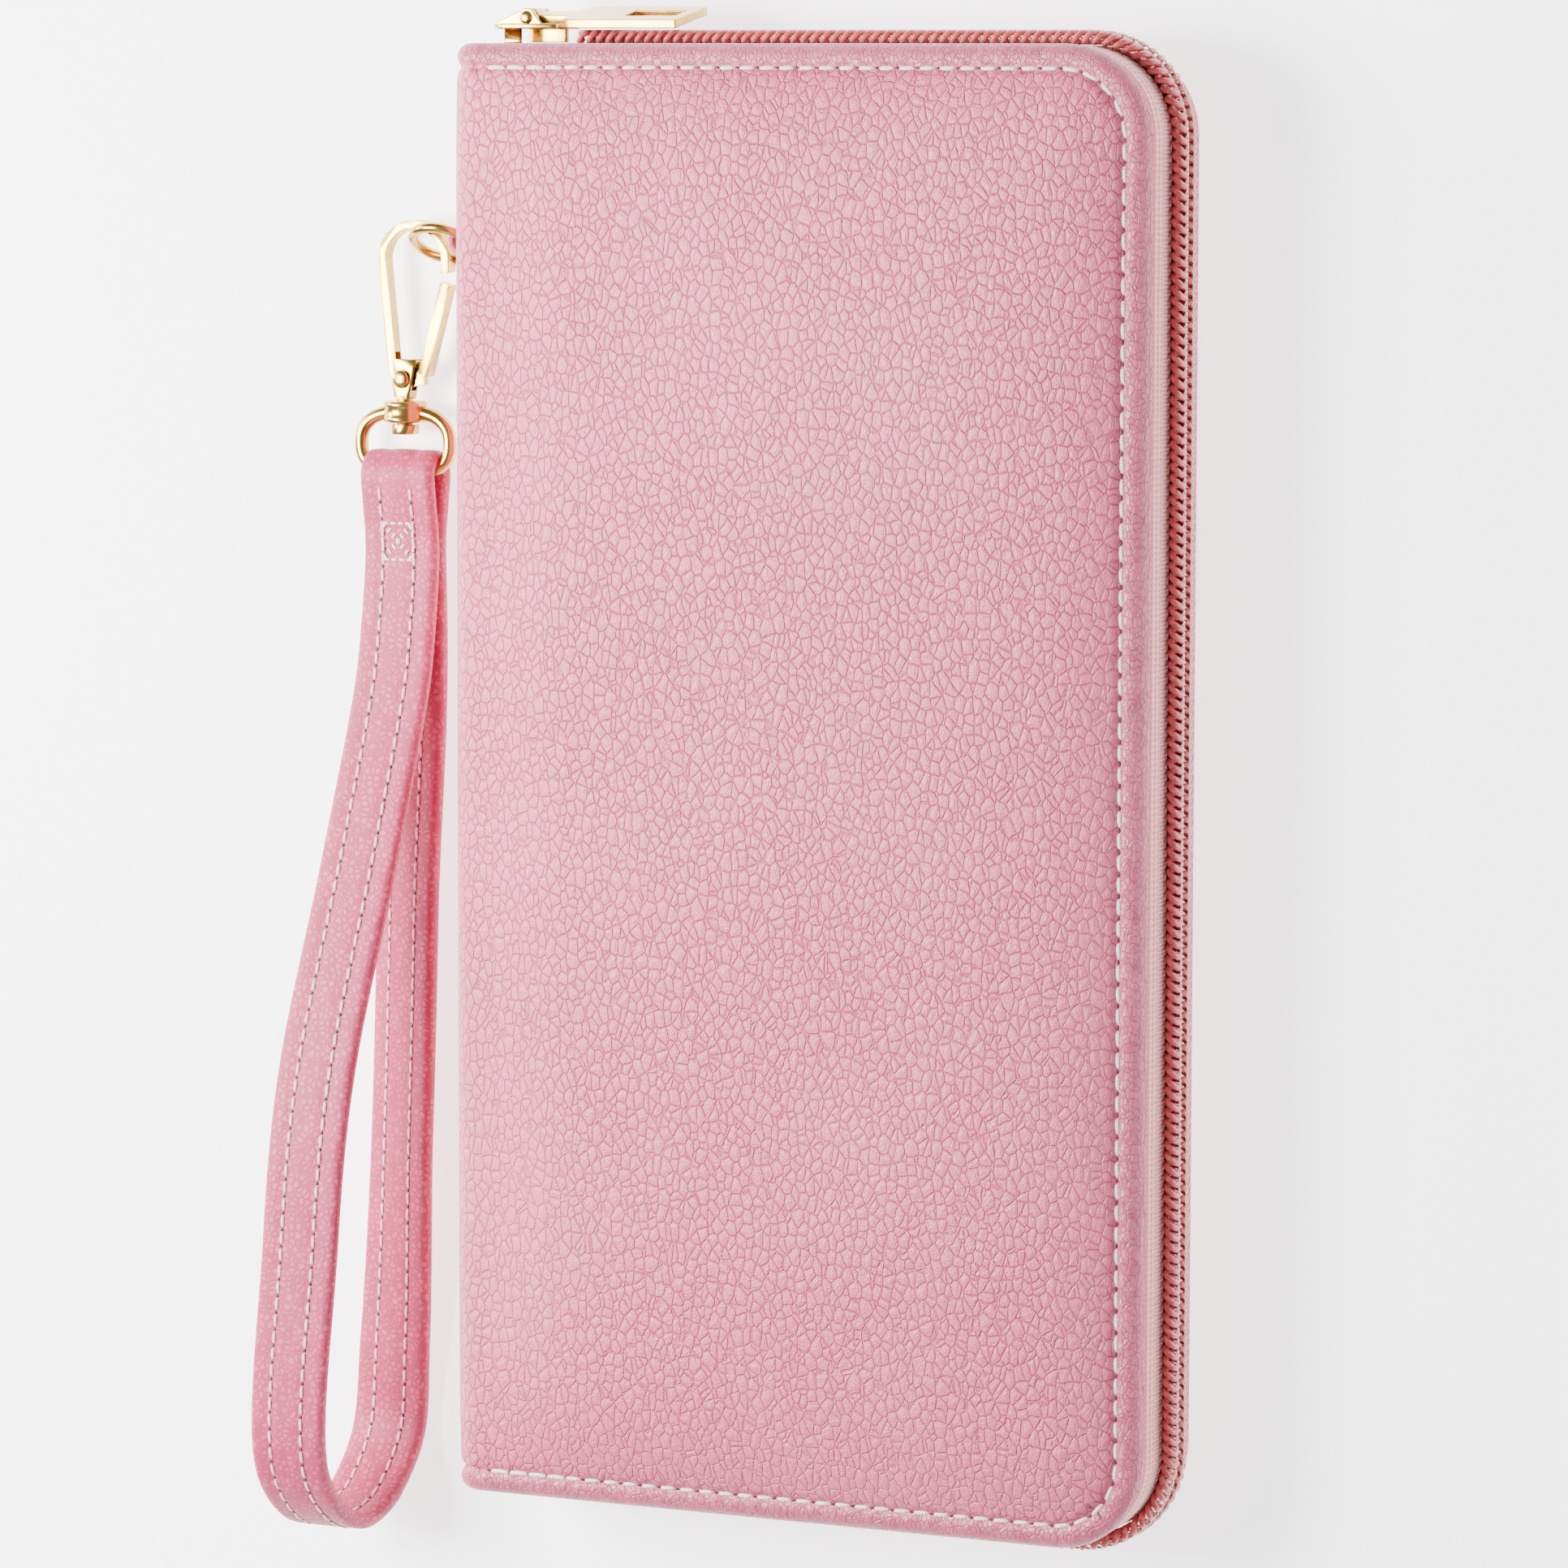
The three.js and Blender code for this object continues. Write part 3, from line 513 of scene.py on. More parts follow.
def sheet_point(a, b):
    """A square grid's point as a place on the flat sheet. In each corner, lines of equal
    distance from the edge become arcs, so that they stay evenly spaced."""
    x, y = np.abs(a) - (SHEET - CORNER), np.abs(b) - (END - CORNER)
    inside = (x > 0) & (y > 0)
    far = np.maximum(np.maximum(x, y), 1e-9)
    angle = np.where(x >= y, np.pi / 4 * np.clip(y / far, 0, 1),
                     np.pi / 2 - np.pi / 4 * np.clip(x / far, 0, 1))
    s = np.where(inside, SHEET - CORNER + far * np.cos(angle), np.abs(a))
    t = np.where(inside, END - CORNER + far * np.sin(angle), np.abs(b))
    return np.sign(a) * s, np.sign(b) * t


def lines(half, step, extra=()):
    """Grid lines from -half to half, close together near both ends."""
    near = [0, 0.06, 0.2, 0.42, 0.7, 1.05, 1.4, 1.8, 2.1, 2.4, 2.65, 2.85, 3.05, 3.2, 3.35,
            3.55, 3.8, 4.1, 4.5, 5.1, 5.9, 7.0, 8.4, 10.1, 12.0]
    rest = np.linspace(0, half - 12, int((half - 12) / step) + 1)[:-1]
    right = np.unique(np.concatenate([rest, half - np.array(near), extra]).round(4))
    return np.concatenate([-right[::-1], right[1:] if right[0] == 0 else right])


spine_lines = np.concatenate([np.linspace(0, SPINE_FLAT, 5)[1:],
                              SPINE_FLAT + np.linspace(0, BEND, 9)[1:]])
columns = lines(SHEET, 2.3, spine_lines)
rows = lines(END, 2.3)
a, b = np.meshgrid(columns, rows, indexing="ij")
d = np.minimum(SHEET - np.abs(a), END - np.abs(b))
s, y = sheet_point(a, b)
outside = fold(s, y, outer_depth(s, y, d))
turned = ROLL + (TURNED_IN - ROLL) * np.sqrt(np.maximum(1 - (1 - np.minimum(d, 1)) ** 2, 0))
inner_depth = turned + (LEATHER - TURNED_IN) * smooth(d, 1.5, 1.9)
spine_band = smooth(-np.abs(s), -SPINE_FLAT - BEND, -SPINE_FLAT)
inner_depth = inner_depth * (1 - spine_band) + np.minimum(turned, LEATHER) * spine_band
inside = fold(s, y, np.where(d < 1e-6, outer_depth(s, y, d), inner_depth))
count = a.size
quads = grid_quads(*a.shape)
cover = make("cover_leather", np.concatenate([outside.reshape(-1, 3), inside.reshape(-1, 3)]),
             np.concatenate([quads, quads[:, ::-1] + count]), None,
             across=np.concatenate([d.ravel(), np.full(count, 9.0)]),
             along=np.concatenate([np.where(END - np.abs(b) < SHEET - np.abs(a), s, y).ravel(),
                                   np.zeros(count)]))
print("cover leather:", len(cover.data.polygons), "faces")

# %% cover material: pebbles inside the seam, a smoother roll outside it
def cover_material():
    """The pebbled leather with a smoother, deeper edge band, and puckers at each stitch. The
    across value is the distance from the edge and the along value follows the seam."""
    shader = Shader("cover leather", Roughness=0.38, Specular_IOR_Level=0.7)
    place = shader.coordinates((1, 0.72, 1))
    edge, along = shader.attribute("across"), shader.attribute("along")
    body = edge.ramp(2.2, 3.6)
    sway = shader.node("ShaderNodeTexNoise", {}, Vector=place, Scale=0.5, Detail=3.0, output=1)
    bent = shader.node("ShaderNodeVectorMath", {"operation": "MULTIPLY_ADD"}, sway,
                       (0.6, 0.6, 0.6), place)
    large = shader.cells(bent, 1.3).ramp(0.0, 0.09)
    small = shader.cells(bent, 0.72).ramp(0.0, 0.12)
    fine = shader.cells(place, 0.34).ramp(0.0, 0.2)
    wrinkle = shader.noise(place, 0.5, detail=6.0, roughness=0.7)
    crease = shader.noise(place, 1.6, detail=6.0, roughness=0.6)
    tint = shader.noise(place, 26.0, detail=2.0)
    dome = shader.cells(bent, 1.3).ramp(0.0, 0.5)
    pebble = large * 0.22 + small * 0.06 + fine * 0.03 + wrinkle * 0.16 + dome * 0.16
    smoother = small * 0.25 + crease * 0.8
    valley = shader.mix(pebble.ramp(0.06, 0.38), linear(180, 60, 94), linear(209, 90, 124))
    warm = shader.mix(tint.ramp(0.42, 0.72) * 0.3, valley, linear(222, 110, 142))
    band = shader.mix(smoother.ramp(0.2, 0.9), linear(152, 52, 82), linear(196, 86, 118))
    color = shader.mix(body, band, warm)
    near_seam = edge.ramp(1.6, SEAM) * (1.0 - edge.ramp(SEAM, 4.8))
    pucker = (along.wave(PITCH) * 0.5 + 0.5) * near_seam
    height = (pebble * body + smoother * (1.0 - body) * 0.45) * 0.6 + pucker * 0.24
    roughness = 0.4 - pebble * 0.12 * body + wrinkle * 0.08
    return shader.feed(Base_Color=color, Roughness=roughness,
                       Normal=shader.bump(height, 1.0))


cover.data.materials.clear()
cover.data.materials.append(cover_material())
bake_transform(cover)
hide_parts("back_cover", "front_cover")

# %% [markdown]
# ## Lockstitching
# White thread runs just inside the rolled edge of both halves. A stitch is a short arched
# capsule between two stitch holes, whose shade is painted as small dark marks, and a few stitches
# are sewn twice near the spine.


# %% a stitch repeated along a line
def stitches(name, points, tangents, normals, material, body, length, width, height, sink=0.1,
             lean=0.0):
    """One small arched capsule at each point: rings of six points whose radius follows a
    half circle, arched over the surface along the stitch."""
    t = np.linspace(-1, 1, 7)
    swell = np.sqrt(np.maximum(1 - t**4, 0))
    arch = 1 - t**2
    angle = np.arange(6) / 6 * TAU
    side_part = swell[:, None] * np.cos(angle) * width / 2
    up_part = swell[:, None] * np.sin(angle) * height / 2 + arch[:, None] * height / 2 - sink
    along_part = np.broadcast_to((t * length / 2)[:, None], side_part.shape)
    sides = np.cross(normals, tangents)
    turned = tangents * np.cos(lean) + sides * np.sin(lean)
    crossed = np.cross(normals, turned)
    grid = (points[:, None, None] + along_part[None, :, :, None] * turned[:, None, None]
            + side_part[None, :, :, None] * crossed[:, None, None]
            + up_part[None, :, :, None] * normals[:, None, None])
    one = grid_quads(7, 6, wrap_columns=True)
    quads = (one[None] + (np.arange(len(points)) * 42)[:, None, None]).reshape(-1, 4)
    shape = grid.shape[:3]
    piece = make(name, grid, quads, material,
                 along=np.broadcast_to(along_part, shape), merge=1e-3,
                 across=np.broadcast_to(angle * width / 2, shape))
    return fit(piece, body, "leather")


def resample(path, step):
    """Evenly spaced points along a path, with their unit tangents; step is adjusted to fit."""
    length = np.concatenate([[0], np.cumsum(np.linalg.norm(np.diff(path, axis=0), axis=1))])
    count = max(int(round(length[-1] / step)), 1)
    at = (np.arange(count) + 0.5) * length[-1] / count
    even = np.stack([np.interp(at, length, path[:, k]) for k in range(path.shape[1])], -1)
    ahead = np.stack([np.interp(at + 0.2, length, path[:, k]) for k in range(path.shape[1])], -1)
    before = np.stack([np.interp(at - 0.2, length, path[:, k]) for k in range(path.shape[1])], -1)
    tangent = ahead - before
    return even, tangent / np.linalg.norm(tangent, axis=1, keepdims=True)


def seam_line(inset, start):
    """Flat (s, y) line of one half's seam: from the spine round the two corners and back."""
    radius = CORNER - inset
    turn = np.linspace(0, np.pi / 2, 24)
    right, top = SHEET - CORNER, END - CORNER
    return np.concatenate([
        [[start, END - inset]],
        np.stack([right + radius * np.sin(turn), top + radius * np.cos(turn)], -1),
        np.stack([right + radius * np.cos(turn), -top - radius * np.sin(turn)], -1),
        [[start, -END + inset]]])


def on_cover(flat, side, inset):
    """Points of the cover's outer face under flat places, and the outward normals there."""
    def place(s, y):
        signed = side * s
        return fold(signed, y, outer_depth(signed, y, np.full(s.shape, inset)))
    here = place(flat[:, 0], flat[:, 1])
    du = place(flat[:, 0] + 0.05, flat[:, 1]) - here
    dv = place(flat[:, 0], flat[:, 1] + 0.05) - here
    normal = np.cross(du, dv)
    normal *= np.sign(normal[:, 2:] * side)
    return here, normal / np.linalg.norm(normal, axis=1, keepdims=True)


START = SPINE_FLAT + BEND + 1.5
for side, half in ((1, "front"), (-1, "back")):
    body = half + "_half"
    flat, _ = resample(seam_line(SEAM, START), PITCH)
    at, up = on_cover(flat, side, SEAM)
    along = directions(at)
    stitches(half + "_seam_thread", at, along, up, WHITE_THREAD, body, length=2.5,
             width=0.66, height=0.42, sink=0.12, lean=0.05)
    ends = np.concatenate([flat[:4], flat[-4:]])
    tack_at, tack_up = on_cover(ends + np.array([0.7, 0.0]), side, SEAM)
    tack_along = np.tile([1.0, 0.0, 0.0], (8, 1))
    stitches(half + "_seam_backtack", tack_at + tack_up * 0.12, tack_along, tack_up,
             WHITE_THREAD, body, length=2.15, width=0.6, height=0.36, lean=-0.1)
    # the dark marks between stitches are painted shade of the stitch holes
    hole_shade_at = at + along * PITCH / 2
    stitches(half + "_needle_holes", hole_shade_at, along, up, HOLE_SHADE, body, length=0.7,
             width=0.5, height=0.16, sink=0.04)
print("seam:", len(at), "stitches a side")

# %% [markdown]
# ## The zip
# Each half carries a woven tape that stands up from inside its rolled edge, and a nylon coil
# sewn along it. The coils' loops slant and lock between each other down the middle. Chain
# stitches hold each coil to its tape.


# %% paths round the three zip sides
def edge_path(offset, start, end, step=0.5):
    """Points (x, y) that follow the covers' edge at an offset, from the spine's +Y end round
    to its -Y end, with the unit outward normal of each."""
    radius = CORNER + offset
    cx, cy = EDGE - CORNER, END - CORNER
    quarter = np.linspace(0, np.pi / 2, 40)
    line = np.concatenate([
        [[SPINE + start, cy + radius]],
        np.stack([cx + radius * np.sin(quarter), cy + radius * np.cos(quarter)], -1),
        np.stack([cx + radius * np.cos(quarter), -cy - radius * np.sin(quarter)], -1),
        [[SPINE + end, -cy - radius]]])
    at, along = resample(line, step)
    return at, np.stack([-along[:, 1], along[:, 0]], -1)


def band(name, start, end, profile, side, material):
    """A strip round the zip sides. profile lists (offset, depth from this half's own face)."""
    profile = np.asarray(profile, float)
    step = 0.9
    at, out = edge_path(0.0, start, end, step)
    depth = profile[:, 1]
    grid = at[:, None] + out[:, None] * profile[None, :, :1]
    z = np.broadcast_to(TOP - depth if side > 0 else depth, grid.shape[:2])
    grid = np.concatenate([grid, z[..., None]], -1)
    centre = grid.mean(1)[[0, -1]]
    grid = np.concatenate([np.broadcast_to(centre[0], grid[:1].shape), grid,
                           np.broadcast_to(centre[1], grid[:1].shape)])
    length = np.concatenate([[0], np.arange(len(at)) * step, [len(at) * step]])
    girth = np.concatenate([[0], np.cumsum(np.linalg.norm(np.diff(profile, axis=0), axis=1))])
    return make(name, grid, grid_quads(len(grid), len(profile), wrap_columns=True), material,
                along=np.broadcast_to(length[:, None], grid.shape[:2]),
                across=np.broadcast_to(girth, grid.shape[:2]))


TAPE_PROFILE = [(-0.9, 2.8), (-0.45, 3.6), (-0.22, 4.4), (-0.16, 5.4), (-0.22, 6.6), (-0.30, 7.8),
                (-0.30, 8.8), (-0.34, 9.35), (-0.6, 9.42), (-0.86, 9.35), (-0.84, 8.2),
                (-0.80, 6.6), (-0.74, 5.4), (-0.82, 4.4), (-1.1, 3.6), (-1.35, 2.9)]


# %% coils, their threads and the tape
def coil(name, path, out, middle, side, body, node, pitch=1.42, proud=0.6, wide=0.92,
         wire=0.43, slant=0.45, centre=0.82):
    """A flattened helix of nylon wire along a path: out * cos + up * sin, leaning by the
    slant. The two sides' loops are half a turn apart."""
    length = np.concatenate([[0], np.cumsum(np.linalg.norm(np.diff(path, axis=0), axis=1))])
    turns = length[-1] / pitch
    count = int(turns * 12)
    t = (np.arange(count) + 0.5) / count * turns
    angle = t * TAU + (0 if side > 0 else np.pi)
    at = (t + slant * np.cos(angle) * 0.5) * pitch
    at = np.clip(at, 0, length[-1])
    here = np.stack([np.interp(at, length, path[:, k]) for k in range(3)], -1)
    way = np.stack([np.interp(at, length, out[:, k]) for k in range(3)], -1)
    way /= np.linalg.norm(way, axis=1, keepdims=True)
    rise = np.sign(np.cos(angle)) * np.abs(np.cos(angle)) ** 0.75 * proud + centre
    reach = -np.sign(np.sin(angle)) * np.abs(np.sin(angle)) ** 0.8 * wide * side
    line = here + way * rise[:, None] + UP * (middle + reach)[:, None]
    tangent = directions(line)
    first = np.cross(tangent, way)
    first /= np.linalg.norm(first, axis=1, keepdims=True)
    second = np.cross(tangent, first)
    grid, quads = sweep(line, first, second, circle(wire, 6))
    return fit(make(name, grid, quads, NYLON), body, "zip_coil", node)


UP = np.array([0.0, 0.0, 1.0])
COIL_START, COIL_END = 14.4, 6.0  # from the spine, at the slider's end and the other
THREAD_ROWS = {"front": [(1.25, 1.62)], "back": [(1.25, 1.62), (2.55, 0.8)]}  # across, out
for side, half in ((1, "front"), (-1, "back")):
    body = half + "_half"
    fit(band(half + "_tape_weave", 2.0, 2.0, TAPE_PROFILE, side, TAPE), body, "zip_tape",
        half + "_zip_tape")
    path, out = edge_path(0.0, COIL_START, COIL_END, 0.6)
    flat = np.concatenate([path, np.full((len(path), 1), MIDDLE)], -1)
    way = np.concatenate([out, np.zeros((len(out), 1))], -1)
    coil(half + "_coil", flat, way, side * 1.66, side, body, half + "_zip_coil")
    for row, (spread, height) in enumerate(THREAD_ROWS[half]):
        for strand in (0, 1):
            at, unit = resample(path, 0.355)
            normal = np.stack([-unit[:, 1], unit[:, 0]], -1)
            k = np.arange(len(at))
            swing = np.sin((k / 4 + 0.5 * strand) * TAU) * 0.20
            z = MIDDLE + side * (spread + swing + (0.16 if strand else -0.16))
            lift = height + 0.08 * np.cos((k / 4 + 0.5 * strand) * 2 * TAU)
            line = np.concatenate([at + normal * lift[:, None], z[:, None]], -1)
            tangent = directions(line)
            first = np.cross(tangent, UP)
            first /= np.linalg.norm(first, axis=1, keepdims=True)
            grid, quads = sweep(line, first, np.cross(tangent, first), circle(0.12, 5))
            fit(make(f"{half}_coil_thread_{row}{strand}", grid, quads, COIL_THREAD), body,
                "zip_tape")
print("zip:", len(path), "points round three sides")

# %% [markdown]
# ## Metal parts
# The slider is a plated die casting: a top plate, two ears that hold the pull's pin, a post
# and a plate behind the tapes. The pull is a flat bar with a slot near its end. The ring,
# the snap hook and the D-ring are the same pale gold.


# %% plates and castings
def from_cells(name, cells, low, high, material, place, bevel):
    """A flat plate made of four-sided cells, extruded from low to high, with rounded edges."""
    flat = np.asarray(cells, float).reshape(-1, 2)
    points = np.column_stack([flat, np.full(len(flat), low)])
    mesh = bpy.data.meshes.new(name)
    mesh.from_pydata(points, [], np.arange(len(flat)).reshape(-1, 4).tolist())
    shell = bmesh.new()
    shell.from_mesh(mesh)
    bmesh.ops.remove_doubles(shell, verts=shell.verts, dist=1e-3)
    lifted = bmesh.ops.extrude_face_region(shell, geom=shell.faces[:])
    top = [v for v in lifted["geom"] if isinstance(v, bmesh.types.BMVert)]
    for corner in top:
        corner.co.z = high
    bmesh.ops.recalc_face_normals(shell, faces=shell.faces)
    shell.to_mesh(mesh)
    shell.free()
    return finished(name, mesh, material, place, bevel, segments=3)


def refined(node, name, bevel, body):
    """A merged copy of a CAD node's mesh with rounded edges, shown in its place."""
    shell = bmesh.new()
    shell.from_mesh(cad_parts[node].data)
    bmesh.ops.remove_doubles(shell, verts=shell.verts, dist=2e-6)
    bmesh.ops.dissolve_limit(shell, angle_limit=np.radians(1), verts=shell.verts,
                             edges=shell.edges)
    mesh = bpy.data.meshes.new(name)
    shell.to_mesh(mesh)
    shell.free()
    return fit(finished(name, mesh, GOLD, lambda p: p / MM, bevel), body, "gold_metal", node)


def arc(cx, cy, radius, start, end, steps=10):
    """Points of a circle's arc between two angles in degrees."""
    angle = np.radians(np.linspace(start, end, steps))
    return np.stack([cx + radius * np.cos(angle), cy + radius * np.sin(angle)], -1)


UNDER, PLATE_UP, PIN_UP = 1.9, 2.6, 3.418  # slider heights above the cover's edge


def slider(prefix, turn, scale, base_body, pull_body):
    """A slider's pieces from its own frame: x the travel, y outwards, z across the chain. Its
    pin's place in the frame fixes where it sits."""
    c, s = np.cos(turn), np.sin(turn)
    turned = np.array([[c, -s, 0], [s, c, 0], [0, 0, 1]]) * scale
    pin_at = sum(cad(prefix + "_pin")) / 2
    centre = pin_at - PIN_UP * turned[:, 1]

    def place(order):
        return lambda p: p[:, order] @ turned.T + centre

    plan, side = place([0, 2, 1]), place([0, 1, 2])
    half, wide, nose = 5.3, 4.6, 3.7
    right = np.concatenate([arc(half - 1.6, nose - 1.6, 1.6, 0, 80),
                            arc(-half + 3, wide - 2.6, 2.6, 95, 180)])
    outline = np.concatenate([right, right[::-1] * [1, -1]])
    pieces = [slab(prefix + "_top_plate", outline, UNDER, PLATE_UP, GOLD, plan, 0.22 * scale)]
    ear = np.concatenate([[[half * 0.5, UNDER + 0.3]], arc(0, PIN_UP, 1.26, 18, 128, 12),
                          [[-half * 0.92, UNDER + 0.75], [-half * 0.92, UNDER + 0.3]]])
    for label, z in (("front", 2.0), ("back", -2.9)):
        pieces.append(slab(f"{prefix}_{label}_ear", ear, z, z + 0.9, GOLD, side, 0.16 * scale))
    under = rounded_box(9.6, 5.0, 0.9) - [0.4, 0]
    pieces.append(slab(prefix + "_under_plate", under, -1.96, -1.34, GOLD, plan, 0.15 * scale))
    post = rounded_box(2.6, 0.5, 0.2) - [3.45, 0]
    pieces.append(slab(prefix + "_post", post, -1.4, UNDER + 0.05, GOLD, plan, 0))
    flange = rounded_box(5.8, 0.8, 0.3) + [0.2, -3.45]
    pieces.append(slab(prefix + "_flange", flange, 0.12, UNDER + 0.05, GOLD, plan, 0.12 * scale))
    dome = np.array([(0, -3.3), (0.5, -3.27), (0.85, -3.12), (0.92, -2.95), (0.68, -2.9),
                     (0.68, 2.9), (0.92, 2.95), (0.85, 3.12), (0.5, 3.27), (0, 3.3)])
    pin = lathe(prefix + "_rivet", dome * scale, pin_at, (0, 0, 1), GOLD, 28)
    fit(pieces[0], base_body, "gold_metal", prefix + "_body")
    fit(pin, base_body, "gold_metal", prefix + "_pin")
    for piece in pieces[1:]:
        fit(piece, base_body, "gold_metal")

    xs, neck, bar = (0.0, 5.5, 7.3, 13.9, 21.5, 23.0), 1.7, 5.0
    zs = (-bar, -2.0, 2.0, bar)
    cells = [[(xs[0], -neck), (xs[1], -neck), (xs[1], neck), (xs[0], neck)],
             [(xs[1], -neck), (xs[2], -2.0), (xs[2], 2.0), (xs[1], neck)],
             [(xs[1], -neck), (xs[2] - 1.2, -bar + 0.4), (xs[2], -bar), (xs[2], -2.0)],
             [(xs[1], neck), (xs[2], 2.0), (xs[2], bar), (xs[2] - 1.2, bar - 0.4)]]
    for i in (2, 3, 4):
        for j in (0, 1, 2):
            if (i, j) != (3, 1):
                cells.append([(xs[i], zs[j]), (xs[i + 1], zs[j]), (xs[i + 1], zs[j + 1]),
                              (xs[i], zs[j + 1])])
    tilt = np.radians(10)

    def leaning(p):
        x, across, height = p[:, 0], p[:, 1], p[:, 2]
        y = PIN_UP + height * np.cos(tilt) - across * np.sin(tilt)
        z = across * np.cos(tilt) + height * np.sin(tilt)
        return np.stack([x, y, z], -1) @ turned.T + centre

    pull = from_cells(prefix + "_pull_bar", cells, -0.6, 0.6, GOLD, leaning, 0.17 * scale)
    eye_profile = [(0.86, -1.66), (1.2, -1.66), (1.25, -1.6), (1.25, 1.6), (1.2, 1.66),
                   (0.86, 1.66)]
    eye = lathe(prefix + "_pull_eye", np.array(eye_profile + eye_profile[:1]) * scale, pin_at,
                (0, 0, 1), GOLD, 28)
    fit(pull, pull_body, "gold_metal", prefix + "_pull")
    fit(eye, pull_body, "gold_metal")


slider("zip_slider", 0.0, 1.0, "zip_slider", "zip_pull")

# %% stops, ring, tab, hook, gate and D-ring
for half in ("front", "back"):
    low, high = cad(half + "_zip_stop")
    size = high - low
    stop = slab(half + "_stop_clamp", rounded_box(size[0], size[1], 0.3) + (low + high)[:2] / 2,
                low[2], high[2], GOLD, lambda p: p, 0.25)
    fit(stop, half + "_half", "gold_metal", half + "_zip_stop")

ring_low, ring_high = cad("ring")
ring_centre = (ring_low + ring_high) / 2
RING_WIRE = 0.7  # radius of its wire
ring_radius = (ring_high - ring_low)[0] / 2 - RING_WIRE
lean = np.radians(58)
angle = np.linspace(0, TAU, 72, endpoint=False)
radial = np.stack([np.cos(angle), np.sin(angle) * np.cos(lean), np.sin(angle) * np.sin(lean)], -1)
pole = np.broadcast_to([0, -np.sin(lean), np.cos(lean)], radial.shape)
grid, quads = sweep(ring_centre + ring_radius * radial, radial, pole, circle(RING_WIRE, 16),
                    closed=True)
fit(make("split_ring", grid, quads, GOLD), "ring", "gold_metal", "ring")

TAB_FOLD = 2.35  # radius of the loop that the ring runs through
tab_line = np.concatenate([[[-0.1, TAB_FOLD], [-2.5, TAB_FOLD]],
                           arc(-5.3, 0, TAB_FOLD, 90, 270, 20),
                           [[-2.5, -TAB_FOLD], [-0.1, -TAB_FOLD]]])
tab_line, tab_along = resample(tab_line, 0.35)
turn = lean - np.pi / 2
across = np.array([0, -np.sin(turn), np.cos(turn)])
other = np.array([0, np.cos(turn), np.sin(turn)])
anchor = np.array([SPINE, ring_centre[1], ring_centre[2]])
spots = anchor + tab_line[:, :1] * [1, 0, 0] + tab_line[:, 1:] * other
out = tab_along[:, :1] * other - tab_along[:, 1:] * np.array([1.0, 0, 0])
grid, quads = sweep(spots, np.broadcast_to(across, spots.shape), out,
                    rounded_box(3.3, 0.7, 0.28))
fit(make("ring_tab_loop", grid, quads, EDGE_LEATHER), "back_half", "leather", "ring_tab")

refined("hook_body", "hook_casting", 0.34, "hook")
refined("gate", "hook_gate", 0.2, "gate")

swivel_low, swivel_high = cad("swivel_d_ring")
D_WIRE, HOUSING_HALF = 0.95, 1.45  # the D-ring's wire radius, half the housing's length
HOOK_X, BAR_Z = ((swivel_low + swivel_high) / 2)[[0, 2]]
BAR_Y, HOUSING_Y = swivel_low[1] + D_WIRE, swivel_high[1] - HOUSING_HALF
angle = np.linspace(0, TAU, 96, endpoint=False)
half_wide, half_tall = (swivel_high - swivel_low)[0] / 2 - D_WIRE, (HOUSING_Y - BAR_Y) / 2


def rounded_square(value):
    """Sine or cosine with its middle filled out, for a shape between an oval and a box."""
    return np.sign(value) * np.abs(value) ** 0.8


oval = np.stack([HOOK_X + half_wide * rounded_square(np.cos(angle)),
                 (HOUSING_Y + BAR_Y) / 2 + half_tall * rounded_square(np.sin(angle)),
                 np.full(96, BAR_Z)], -1)
oval, ahead = resample(np.concatenate([oval, oval[:1]]), 0.4)
up = np.broadcast_to(UP, oval.shape)
grid, quads = sweep(oval, np.cross(up, ahead), up, circle(D_WIRE, 16), closed=True)
fit(make("d_ring_wire", grid, quads, GOLD), "swivel", "gold_metal", "swivel_d_ring")
housing = lathe("swivel_housing",
                [(1.35, -HOUSING_HALF), (2.75, -HOUSING_HALF), (2.98, -1.25), (2.98, -0.75),
                 (2.86, -0.62), (2.86, 0.62), (2.98, 0.75), (2.98, 1.25),
                 (2.75, HOUSING_HALF), (1.35, HOUSING_HALF), (1.35, -HOUSING_HALF)],
                (HOOK_X, HOUSING_Y, BAR_Z), (0, 1, 0), GOLD, 48)
fit(housing, "swivel", "gold_metal")
rivet_low, rivet_high = cad("gate_rivet")
rivet_centre = (rivet_low + rivet_high) / 2
tall = (rivet_high - rivet_low)[2] / 2
rivet = lathe("gate_pin", [(0, -tall), (0.9, -tall + 0.05), (1.2, -tall + 0.22), (1.22, -tall + 0.4),
                           (0.64, -tall + 0.4), (0.64, tall - 0.4), (1.22, tall - 0.4),
                           (1.2, tall - 0.22), (0.9, tall - 0.05), (0, tall)],
              rivet_centre, (0, 0, 1), GOLD, 28)
fit(rivet, "hook", "gold_metal", "gate_rivet")
print("metal parts made")

# %% [markdown]
# ## Wrist strap
# A folded leather strap runs from the D-ring's bar out to a wide bend and back. Its two ends
# are sewn together under the ring. The lower strand is twisted a little. Two rows of thread
# show on both faces, and a butted seam runs down the middle of the inner face.


